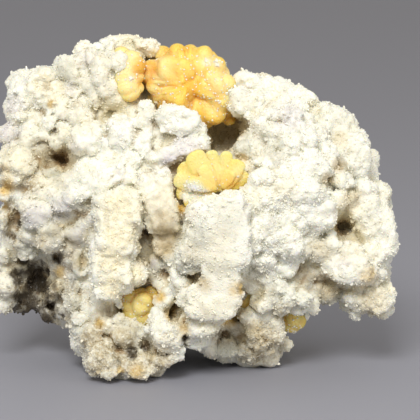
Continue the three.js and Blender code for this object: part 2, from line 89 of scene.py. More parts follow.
# Lumps, blocks and knobs of the stone.
LUMP_SIZE = 1.25  # how much wider a lump is than the part of it that shows
LUMP_DEPTH = 0.85  # a lump's depth as a share of its smaller side
LUMP_UNEVENNESS = 0.13
GRAIN_UNEVENNESS = 0.3
GRAIN_SEED = 5
SLAB_SUNK = 0.3  # how far a block is sunk, as a share of its depth
SLAB_SIZE = 1.7  # a block's side before its corners are softened
SLAB_ROUNDNESS = 0.45
SLAB_UNEVENNESS = 0.09
CREASE_DEPTH = 1.5 * MM  # how far the core lies under the lumps, where creases end
HIDDEN_SUNK = 0.8 * MM  # how far the strewn lumps are sunk, where the eye doesn't reach
SEEN_SUNK = 1.3 * MM  # and where it does
SEEN_MARGIN = 1.5 * MM  # how much a place may lie behind what the eye meets and still count as seen
KNOBBLY_AT_LEAST = 0.25  # how knobbly the smoother stone is
KNOBBLY_UNSEEN = 0.8  # and the stone that the eye doesn't see
PRESSED = 0.3  # what is left of anything that would stand outside the solids' box
HOLLOW_REACH = 6  # how many rings of points round a place tell how hollow it is
ROSETTE_HOLLOW_REACH = 5
SPOT_DEPTH = 2.5  # how much deeper than wide a painted spot reaches
SPOT_RISE = 1.6  # how fast a spot gains strength from its edge to its middle
SPOT_RISE_IN_DEPTH = 2
BESIDE_STEP = 2.5  # millimetres between places where stone beside a line of sight is sought
BESIDE_STEPS = 12  # and how many there are before and behind the middle
SHELTER_REACH = 9 * MM  # how far a wall may stand and still shelter a place
SHELTER_RAYS = 40
SHELTER_START = 0.5  # how many millimetres above the surface its rays start
SHELTER_SLANT = 0.15  # rays flatter than this don't count

# Lumps strewn over the heart and crystals on the rosettes: spacing, smallest and largest half sizes,
# tilt and seed.
HIDDEN_LUMPS = (3.6 * MM, [1.6 * MM, 1.6 * MM, 1.3 * MM], [3.1 * MM, 3.1 * MM, 2.2 * MM], 0.4, 11)
SEEN_LUMPS = (2.1 * MM, [0.8 * MM] * 3, [1.6 * MM, 1.6 * MM, 1.5 * MM], 0.5, 12)
SMALL_FROST = (0.42 * MM, [0.07 * MM] * 3, [0.22 * MM] * 3, 0.9, 61)
LARGE_FROST = (0.75 * MM, [0.24 * MM] * 3, [0.42 * MM] * 3, 0.9, 63)

# Relief of the stone, from coarse to fine, in millimetres: kind, cell, height and limiting mark.
RELIEF = [
    ("waves", 5, 0.65, ""), ("waves", 1.8, 0.25, ""), ("knobs", 1.4, 0.65, "knobbly"),
    ("knobs", 0.8, 0.22, "knobbly"), ("knobs", 0.55, 0.14, "grainy"),
]

# Small crystals, in millimetres: name, grain, spacing, smallest and largest half size, tilt, seed, mark.
SUGARS = [
    ("front_points", "point", 0.29, 0.1, 0.19, 0.9, 27, "front_sugar"),
    ("coarse_points", "point", 0.8, 0.2, 0.38, 0.9, 25, "front_sugar"),
    ("coarse_blades", "blade", 1.3, 0.2, 0.38, 0.7, 29, "front_sugar"),
    ("front_blades", "blade", 0.6, 0.09, 0.2, 0.9, 31, "front_sugar"),
    ("front_blocks", "block", 0.5, 0.09, 0.2, 0.8, 37, "front_sugar"),
    ("back_blades", "blade", 1.1, 0.15, 0.3, 0.9, 41, "back_sugar"),
    ("back_blocks", "block", 0.9, 0.14, 0.28, 0.8, 43, "back_sugar"),
]
SPARSE_SUGAR = 0.35  # how closely crystals stand outside the druse
FOOT_CLEARANCE = 0.9 * MM  # grains keep off the flats that the specimen stands on

# Blades of the rosettes.
FAN_BLADE_LENGTH = 0.58  # half length and middle of a fan's blade, as shares of its reach
FAN_BLADE_MIDDLE = 0.42
FAN_ANGLE_SPREAD = 0.15
FAN_REACH_SPREAD = (0.94, 1.03)
FAN_HEIGHT_SPREAD = (0.96, 1.04)
FAN_THICKNESS = 1.6  # thickness of a fan's blade, as a share of its step
BALL_THICKNESS = 1.85
BALL_ANGLE_SPREAD = 0.1
BALL_REACH_SPREAD = (0.95, 1.04)
BALL_TURN = 0.01  # keeps a ball's axis off the view's own axes
BALL_LEAN = 0.25  # how far it leans to the eye
PETAL_THICKNESS = 0.2  # as a share of its width
PETAL_START = 0.1  # where along its length it is fully open
PETAL_END = 0.88  # where its round end begins

# Lumps that stand proud of the stone, in pixels of the photographed view:
# middle, half width and half height, and where it isn't 0, turn in degrees and how far it stands out.
UPPER_LEFT_LUMPS = [
    (13, 96, 5, 6), (12, 108, 6, 8), (12, 119, 5, 5), (22, 89, 6, 5), (30, 79, 7, 6, 30, 0), (39, 74, 7, 6),
    (48, 74, 6, 5), (33, 94, 8, 7, 0, 1), (43, 99, 8, 9, 0, 2), (24, 104, 7, 7, 0, 1),
    (19, 114, 6, 7, 0, 1), (55, 95, 5, 4, 0, 1), (60, 104, 6, 6, 0, 1), (50, 113, 5, 4),
    (63, 114, 6, 6, 0, 1), (67, 94, 4, 4), (75, 93, 4, 4, 0, 1), (76, 104, 5, 4, 0, 1),
    (82, 118, 11, 9, -20, 2), (85, 141, 15, 13, 0, 2), (94, 96, 6, 8), (88, 86, 8, 8), (86, 50, 7, 6),
    (84, 62, 9, 8), (98, 48, 5, 5), (100, 76, 10, 10, 0, 1), (102, 61, 9, 8, 0, 1), (66, 68, 6, 9, -15, 2),
    (73, 76, 6, 7, 0, 3), (8, 134, 10, 8, 0, 2), (13, 145, 4, 3, 0, 2), (30, 125, 8, 7, 0, 1),
    (48, 122, 7, 5, -20, 2), (40, 135, 8, 6, 0, 1), (56, 141, 6, 5), (66, 136, 6, 6), (27, 138, 8, 8, 0, 1),
]
CREST_LUMPS = [
    (109, 44, 6, 6), (119, 39, 9, 6, 10, 0), (130, 38, 9, 6, 0, 1), (139, 43, 7, 6, -30, 0),
    (149, 46, 6, 5), (157, 45, 4, 4), (116, 63, 8, 7, 0, 3), (94, 60, 9, 8), (106, 86, 10, 9),
    (112, 98, 10, 8, 0, 1), (122, 105, 11, 5, -8, 1), (120, 133, 12, 14, 0, 2), (99, 113, 6, 5),
    (95, 126, 6, 7), (144, 107, 8, 7, 0, 1), (149, 117, 7, 7, 0, 1), (139, 121, 7, 7), (147, 128, 6, 5),
    (142, 148, 10, 12, 0, 1), (120, 116, 8, 4),
]
MIDDLE_LUMPS = [
    (180, 119, 16, 10, 0, 2), (168, 117, 9, 8, 0, 1), (190, 121, 8, 8, 0, 2), (197, 130, 6, 6, 0, 2),
    (174, 130, 13, 6), (170, 155, 9, 7, 20, 0), (183, 148, 10, 7, 20, 1), (197, 143, 10, 6, 15, 1),
    (204, 147, 5, 4, 0, 1), (164, 165, 7, 6), (154, 160, 7, 7), (154, 183, 13, 11, 0, 2),
    (243, 149, 7, 9, 0, 1), (104, 178, 12, 9, 20, 1), (80, 190, 13, 9, 25, 1), (121, 170, 10, 9, 0, 1),
    (130, 160, 8, 8), (128, 178, 8, 5, 0, 1), (103, 191, 6, 5, 0, 2), (64, 202, 9, 8, 25, 0),
]
RIGHT_CREST_LUMPS = [
    (246, 83, 11, 10), (262, 89, 8, 8), (243, 104, 11, 12, 0, 2), (241, 108, 5, 5, 0, 1), (254, 101, 7, 7),
    (268, 87, 8, 7, 0, 1), (277, 87, 6, 6), (287, 89, 7, 6), (297, 95, 8, 6), (310, 99, 8, 7),
    (300, 106, 8, 6, 0, 1), (273, 116, 9, 6), (290, 117, 10, 6, 0, 1), (306, 119, 8, 6), (262, 127, 6, 5),
    (258, 147, 8, 13, 0, 1), (276, 148, 9, 12), (270, 166, 17, 6, -15, 2), (291, 146, 11, 12),
    (306, 140, 10, 10, 0, 1), (310, 164, 14, 12, 0, 2), (296, 167, 7, 6, 0, 1), (286, 177, 10, 8, 0, 1),
    (262, 181, 12, 7), (276, 131, 13, 9), (295, 130, 13, 9), (262, 138, 9, 9), (284, 162, 20, 13),
    (300, 181, 16, 10), (318, 140, 10, 12), (322, 170, 9, 10),
]
RIGHT_LUMPS = [
    (340, 128, 14, 15, 0, 1), (329, 112, 9, 7), (350, 124, 8, 8), (352, 145, 14, 13, 0, 1),
    (354, 166, 13, 11, 0, 1), (359, 156, 7, 11), (336, 179, 7, 6, 0, 3), (343, 181, 6, 5, 0, 2),
    (366, 191, 11, 9), (378, 193, 8, 8), (380, 205, 6, 7), (370, 206, 11, 11, 0, 1), (383, 221, 8, 9),
    (387, 241, 11, 13), (374, 235, 12, 12, 0, 1), (364, 226, 9, 9, 0, 1), (372, 254, 11, 7),
    (384, 257, 7, 8), (350, 200, 7, 7), (356, 213, 6, 6, 0, 1), (318, 214, 15, 15, 0, 1),
    (304, 206, 8, 8, 0, 1), (312, 229, 9, 7), (318, 250, 14, 9), (350, 270, 17, 12, 0, 2),
    (335, 266, 9, 8, 0, 1), (365, 273, 11, 9, 0, 1), (350, 254, 11, 8), (376, 276, 8, 8),
    (374, 300, 12, 11, 0, 1), (386, 295, 8, 11), (384, 309, 8, 8), (361, 303, 9, 8, 0, 1),
    (352, 299, 7, 7, 0, 1), (357, 312, 6, 6), (378, 316, 7, 4), (328, 291, 12, 12, 0, 1),
]
MASS_LUMPS = [
    (196, 206, 8, 8, 0, 4), (211, 201, 9, 6, 10, 4), (233, 199, 11, 7, 0, 4), (244, 210, 6, 10, 0, 4),
    (214, 211, 20, 11, 10, 1), (232, 206, 12, 10), (238, 222, 8, 16, 0, 1), (218, 226, 15, 14, 0, 2),
    (198, 222, 8, 10), (214, 248, 12, 13, 0, 1), (233, 250, 10, 15, 0, 1), (196, 240, 9, 9),
    (187, 258, 10, 8), (203, 264, 7, 7), (180, 277, 10, 6, -30, 1), (215, 276, 8, 9, 0, 1),
    (222, 298, 14, 12, 0, 2), (204, 299, 13, 11, 0, 1), (188, 300, 8, 8), (210, 318, 11, 9),
    (200, 330, 10, 7), (198, 343, 9, 5, 5, 0), (226, 277, 7, 8, 0, 1), (157, 262, 6, 8), (172, 257, 8, 6),
    (167, 335, 14, 14, 0, 3), (167, 302, 5, 5, 0, 2), (156, 320, 6, 8, 0, 1),
]
COLUMN_LUMPS = [
    (118, 212, 21, 13, 10, 2), (134, 212, 10, 12, 0, 1), (104, 214, 9, 9, 0, 1), (115, 232, 16, 11, 0, 2),
    (128, 228, 10, 12, 0, 1), (110, 246, 13, 8, 0, 2), (125, 247, 9, 9, 0, 1), (113, 264, 14, 9, 0, 2),
    (104, 272, 8, 9, 0, 1), (118, 284, 11, 9, 0, 1), (107, 286, 9, 10, 0, 1), (111, 297, 7, 7, 0, 1),
    (134, 272, 9, 9, 0, 1), (138, 280, 7, 6, 0, 1), (120, 200, 12, 6, 10, 1),
]
LOWER_LEFT_LUMPS = [
    (5, 284, 9, 10, 0, 2), (5, 300, 9, 9, 0, 1), (28, 248, 11, 9, 0, 1), (18, 243, 6, 5),
    (33, 257, 7, 6, 0, 1), (35, 215, 13, 12, 30, 0), (26, 203, 6, 6, 0, 1), (50, 235, 12, 11),
    (78, 232, 10, 9), (36, 187, 5, 4, 0, 1), (54, 171, 9, 7, 0, 3), (20, 163, 12, 12, 0, 1),
    (12, 177, 10, 8, 0, 1), (3, 222, 5, 8, 0, 2), (57, 288, 6, 9, -25, 3), (52, 295, 5, 6, 0, 2),
    (72, 305, 8, 7), (80, 318, 8, 6), (82, 262, 6, 12), (76, 285, 5, 6), (5, 255, 5, 6, 0, 1),
    (5, 195, 6, 6, 0, 1),
]
CENTRAL_LUMPS = [
    (268, 200, 17, 12), (262, 222, 14, 13), (284, 214, 14, 12), (276, 240, 16, 12), (260, 258, 13, 11),
    (290, 244, 11, 11), (250, 238, 9, 13), (284, 266, 12, 9), (300, 224, 10, 10), (295, 196, 11, 9),
    (251, 206, 9, 10), (268, 276, 9, 8), (300, 252, 9, 9), (240, 188, 8, 6), (330, 246, 10, 8),
    (336, 200, 9, 8), (330, 236, 6, 6), (325, 150, 10, 10), (330, 162, 6, 7), (320, 186, 9, 9),
    (260, 191, 18, 10), (282, 190, 18, 10), (306, 191, 14, 10), (316, 200, 10, 9),
]
FOOT_LUMPS = [
    (90, 335, 9, 8, 0, 1), (98, 347, 10, 8, 0, 1), (104, 362, 10, 9, 0, 1), (92, 366, 6, 7),
    (128, 335, 13, 10, 0, 1), (122, 330, 9, 8), (108, 328, 6, 6), (137, 345, 6, 6, 0, 2),
    (130, 366, 11, 8, 0, 1), (148, 363, 12, 8, 10, 2), (165, 358, 10, 6, 20, 1), (176, 353, 7, 5, 20, 1),
    (110, 374, 9, 5), (140, 373, 9, 4), (192, 339, 8, 5, 0, 1), (256, 331, 9, 13, 0, 1),
    (250, 318, 7, 6, 0, 1), (272, 324, 7, 7, 0, 1), (275, 337, 9, 8, 0, 2), (262, 340, 7, 7),
    (245, 350, 10, 5), (265, 351, 12, 4), (284, 346, 8, 6), (262, 305, 9, 5, 0, 2), (284, 300, 10, 9, 0, 2),
    (272, 297, 8, 7, 0, 1), (275, 288, 9, 8, 0, 1), (304, 298, 8, 8, -30, 2), (311, 305, 6, 7, 0, 1),
    (300, 308, 7, 5), (225, 345, 9, 10),
]

# Blocky forms that stand well proud: middle, half width, half height, half depth, turn and rise.
COLUMN_SLABS = [
    (118, 213, 24, 20, 14, 8, 4), (116, 236, 21, 22, 14, 3, 4), (112, 262, 20, 24, 13, -2, 4),
    (109, 285, 13, 17, 12, -14, 3), (137, 272, 9, 12, 9, 0, 2),
]
MASS_SLABS = [
    (219, 220, 30, 25, 15, 10, 3), (200, 240, 17, 26, 11, -8, 1), (227, 244, 22, 28, 15, 0, 4),
    (221, 272, 18, 22, 13, 0, 2), (212, 302, 27, 18, 14, -4, 3), (203, 322, 17, 14, 12, 0, 1),
    (189, 254, 13, 18, 10, -15, 0),
]
FINGER_SLABS = [
    (156, 188, 15, 18, 11, 8, 4), (162, 212, 17, 24, 11, 6, 3), (166, 238, 12, 18, 9, 8, 2),
]
MIDDLE_SLABS = [
    (181, 119, 19, 11, 11, 0, 3), (184, 150, 25, 8, 9, 18, 3), (104, 178, 24, 10, 10, 22, 3),
    (78, 194, 17, 9, 9, 25, 2), (120, 133, 12, 14, 9, 0, 2), (243, 150, 8, 9, 8, 0, 1),
]
RIGHT_SLABS = [
    (336, 126, 17, 19, 14, -30, 1), (351, 153, 20, 25, 13, 8, 0), (318, 214, 16, 14, 11, 0, 1),
    (350, 270, 18, 12, 11, 0, 1), (375, 300, 14, 12, 11, 0, 0), (387, 240, 9, 18, 9, 0, 0),
]

# Lumps that grow against the rosettes and over their edges.
COLLAR_LUMPS = [
    (164, 304, 6, 6, 0, 1), (161, 318, 6, 6, 0, 2), (125, 328, 5, 5, 0, 1), (122, 290, 5, 5, 0, 1),
    (153, 330, 8, 4, 0, 2), (136, 335, 10, 4, 0, 1), (118, 320, 4, 6), (119, 302, 3, 5), (166, 291, 5, 4),
    (254, 300, 4, 7, 0, 1), (242, 294, 2.4, 6, 20, 1), (231, 301, 3, 6, 0, 1), (240, 311, 5, 3),
    (302, 316, 5, 6, 0, 1), (281, 309, 6, 4, 0, 1), (297, 333, 6, 3, 0, 1), (279, 327, 4, 5),
]

# Patches where the stone is smooth and glassy, with few grains.
SMOOTH_PATCHES = [
    (158, 192, 16, 0.7), (161, 208, 20, 1), (165, 230, 16, 1), (236, 222, 20, 0.7), (224, 250, 16, 0.5),
    (216, 300, 22, 0.6), (85, 141, 16, 0.6), (100, 76, 12, 0.6), (85, 60, 12, 0.5), (352, 128, 22, 0.5),
    (183, 148, 16, 0.4), (40, 216, 14, 0.6), (75, 236, 12, 0.8), (82, 262, 11, 0.9), (66, 72, 10, 0.7),
    (154, 262, 9, 0.5), (344, 264, 12, 0.4), (120, 178, 10, 0.4),
]

# Patches of small knobs: middle, reach and strength.
KNOBBLY_PATCHES = [
    (40, 95, 28, 1), (20, 112, 16, 1), (62, 95, 16, 1), (52, 122, 18, 1), (98, 110, 16, 1),
    (96, 128, 14, 1), (130, 112, 18, 1), (146, 118, 12, 1), (88, 50, 14, 0.7), (150, 44, 11, 1),
    (128, 158, 20, 1), (118, 183, 22, 0.8), (250, 86, 16, 1), (272, 100, 22, 1), (262, 122, 18, 1),
    (292, 112, 18, 1), (285, 150, 24, 0.8), (312, 130, 16, 0.8), (262, 176, 20, 0.8), (290, 196, 18, 0.8),
    (268, 210, 24, 1), (292, 228, 20, 1), (262, 240, 22, 1), (280, 258, 20, 1), (254, 268, 18, 1),
    (300, 250, 12, 0.8), (350, 190, 18, 1), (372, 222, 20, 0.8), (376, 254, 16, 1), (352, 248, 16, 0.8),
    (340, 268, 18, 0.5), (374, 300, 20, 1), (356, 304, 14, 1), (100, 352, 20, 1), (92, 336, 14, 1),
    (150, 362, 24, 1), (264, 338, 20, 1), (246, 352, 16, 1), (284, 296, 16, 0.8), (306, 302, 12, 1),
    (72, 300, 14, 1), (80, 212, 16, 1), (30, 250, 16, 1), (28, 206, 12, 1), (45, 250, 10, 1),
    (114, 226, 22, 0.5), (112, 262, 20, 0.6), (114, 290, 12, 0.6), (192, 262, 18, 1), (166, 335, 15, 1),
    (108, 320, 14, 1), (188, 122, 20, 0.5), (203, 212, 15, 0.7), (214, 236, 16, 0.5), (205, 300, 14, 0.5),
]

# Where the small crystals stand close: middle, reach and strength.
DRUSE = [
    (75, 300, 22, 1), (30, 225, 22, 0.6), (55, 215, 20, 0.6), (40, 290, 26, 0.8), (202, 222, 18, 0.8),
    (212, 245, 14, 0.6), (20, 108, 16, 0.8), (30, 130, 16, 0.7), (100, 95, 14, 0.5), (144, 118, 14, 0.6),
    (150, 46, 12, 0.8), (130, 150, 20, 0.6), (188, 150, 22, 0.5), (262, 122, 20, 0.8), (285, 150, 26, 0.8),
    (275, 205, 30, 0.8), (270, 245, 30, 0.9), (258, 270, 16, 1), (292, 112, 18, 0.7), (192, 258, 20, 0.8),
    (178, 250, 12, 0.8), (284, 300, 18, 0.9), (308, 302, 12, 0.9), (250, 300, 12, 0.9), (166, 335, 16, 0.9),
    (150, 320, 14, 1), (100, 350, 24, 0.8), (150, 362, 26, 0.7), (264, 335, 22, 0.9), (240, 352, 18, 0.7),
    (328, 292, 16, 0.8), (352, 190, 22, 0.6), (375, 225, 22, 0.6), (380, 300, 18, 0.7), (60, 150, 20, 0.5),
    (80, 262, 12, 0.9), (10, 300, 14, 0.6), (50, 322, 16, 0.7), (318, 255, 20, 0.5), (225, 345, 14, 0.8),
    (208, 265, 10, 0.7), (160, 258, 12, 0.7), (86, 205, 14, 0.7),
]

# Pits and clefts: middle, half width, half height, turn in degrees, and depth.
PITS = [
    (59, 158, 13, 7, -28, 18), (68, 166, 5, 9, 20, 16), (50, 164, 7, 8, 0, 14), (40, 160, 7, 8, -20, 10),
    (55, 130.5, 2.6, 2.8, 0, 12), (15, 222, 6, 16, -12, 22), (10, 238, 7, 9, 0, 18),
    (22, 232, 8, 4, 35, 12), (57, 259, 8, 7, -25, 30), (36, 284, 12, 20, 0, 24), (45, 272, 8, 9, 0, 14),
    (30, 302, 12, 10, 0, 18), (50, 306, 7, 5, 25, 14), (22, 262, 8, 5, 30, 14), (45, 243, 4, 3, -20, 8),
    (47, 186, 4, 3, 0, 6), (30, 187, 7, 4, 10, 8), (82, 213, 9, 3.4, 25, 6), (70, 225, 3, 3, 0, 8),
    (97, 202, 7, 3, 20, 8), (86, 294, 1.8, 5, -8, 12), (64, 322, 3, 4, 0, 10), (147, 232, 4, 13, 8, 26),
    (82, 262, 6, 14, 0, 9), (160, 250, 7, 5, 20, 9), (152, 172, 5, 2.2, 45, 16), (154, 149, 1.7, 5, 0, 14),
    (146, 280, 2.2, 5, 0, 14), (165, 273, 2.6, 6, 12, 12), (172, 283, 5, 3, -30, 10),
    (158, 250, 3, 5, 25, 8), (182, 222, 4, 2.4, -30, 8), (228, 136, 24, 20, 0, 16),
    (213, 149, 11, 10, 0, 24), (241, 127, 12, 11, 0, 30), (219, 154, 3, 5, 0, 10),
    (172, 186, 2.4, 6, -10, 10), (178, 170, 5, 6, 20, 6), (154, 124, 5, 7, -10, 7), (159, 117, 3, 3, 0, 6),
    (136, 134, 2.6, 4, -20, 6), (134, 143, 2, 2, 0, 6), (107, 135, 1.8, 7, 0, 5), (137, 102, 4, 2, 20, 6),
    (143, 85, 5, 4, 0, 6), (192, 274, 6, 2.2, -30, 8), (202, 281, 5, 4, -20, 7), (233, 284, 3, 7, -20, 8),
    (250, 294, 8, 10, 0, 14), (240, 312, 5, 7, 20, 10), (185, 322, 3.4, 12, -8, 9),
    (176, 311, 7, 4, -20, 7), (184, 338, 3, 6, 0, 7), (160, 353, 12, 3, -5, 8), (130, 353, 10, 3.4, -5, 10),
    (146, 347, 5, 6, 0, 14), (108, 313, 6, 5, 0, 8), (98, 324, 4, 6, 0, 7), (118, 362, 2.4, 8, 20, 6),
    (120, 372, 5, 2.4, -30, 5), (342, 228, 10.5, 10, -30, 34), (338, 224, 5, 6, 0, 24),
    (327, 180, 6, 8, 20, 6), (336, 163, 6, 9, 20, 6), (318, 281, 5, 7, 15, 14), (305, 280, 8, 8, 0, 9),
    (301, 270, 3.4, 3, 0, 12), (340, 284, 7, 5, -20, 6), (326, 305, 12, 3.4, -25, 8),
    (371, 313, 6, 2.4, 0, 8), (270, 106, 4, 5, 0, 4), (256, 126, 2, 2, 0, 5), (280, 143, 1.4, 3, -20, 4),
    (276, 153, 6, 8, 0, 3), (254, 217, 4, 1.6, -10, 4), (305, 202, 4, 1.4, -15, 4), (297, 215, 2, 3, 0, 4),
    (296, 224, 1.6, 4, 0, 4), (298, 250, 1.6, 4, 0, 5), (356, 199, 2.4, 3, 0, 4),
    (112, 234, 2.4, 1.6, 0, 5), (98, 229, 2, 5, 10, 4), (103, 255, 9, 1.3, 0, 4),
    (122, 253, 5, 1.3, -20, 4), (118, 277, 3, 2, 0, 5), (107, 222, 2.6, 7, -10, 3),
    (104, 292, 6, 1.2, -40, 3), (226, 333, 7, 6, 0, 12), (247, 345, 6, 2.4, -20, 6),
    (284, 311, 10, 2, 5, 6), (258, 315, 8, 2, 0, 5), (42, 113, 5, 3.4, 20, 5), (46, 87, 5, 2.6, 0, 4),
    (34, 87, 2.6, 2, 0, 3), (51, 104, 2.4, 5, -20, 4), (60, 97, 1.4, 4, -30, 4), (98, 99, 2.4, 1.2, -30, 4),
    (85, 106, 5, 1.6, -15, 4), (37, 124, 4, 1.4, -30, 3), (8, 149, 8, 1.3, 0, 6), (57, 320, 8, 3, 0, 6),
    (181, 208, 2, 8, 0, 8), (236, 329, 5, 4, 0, 6),
]

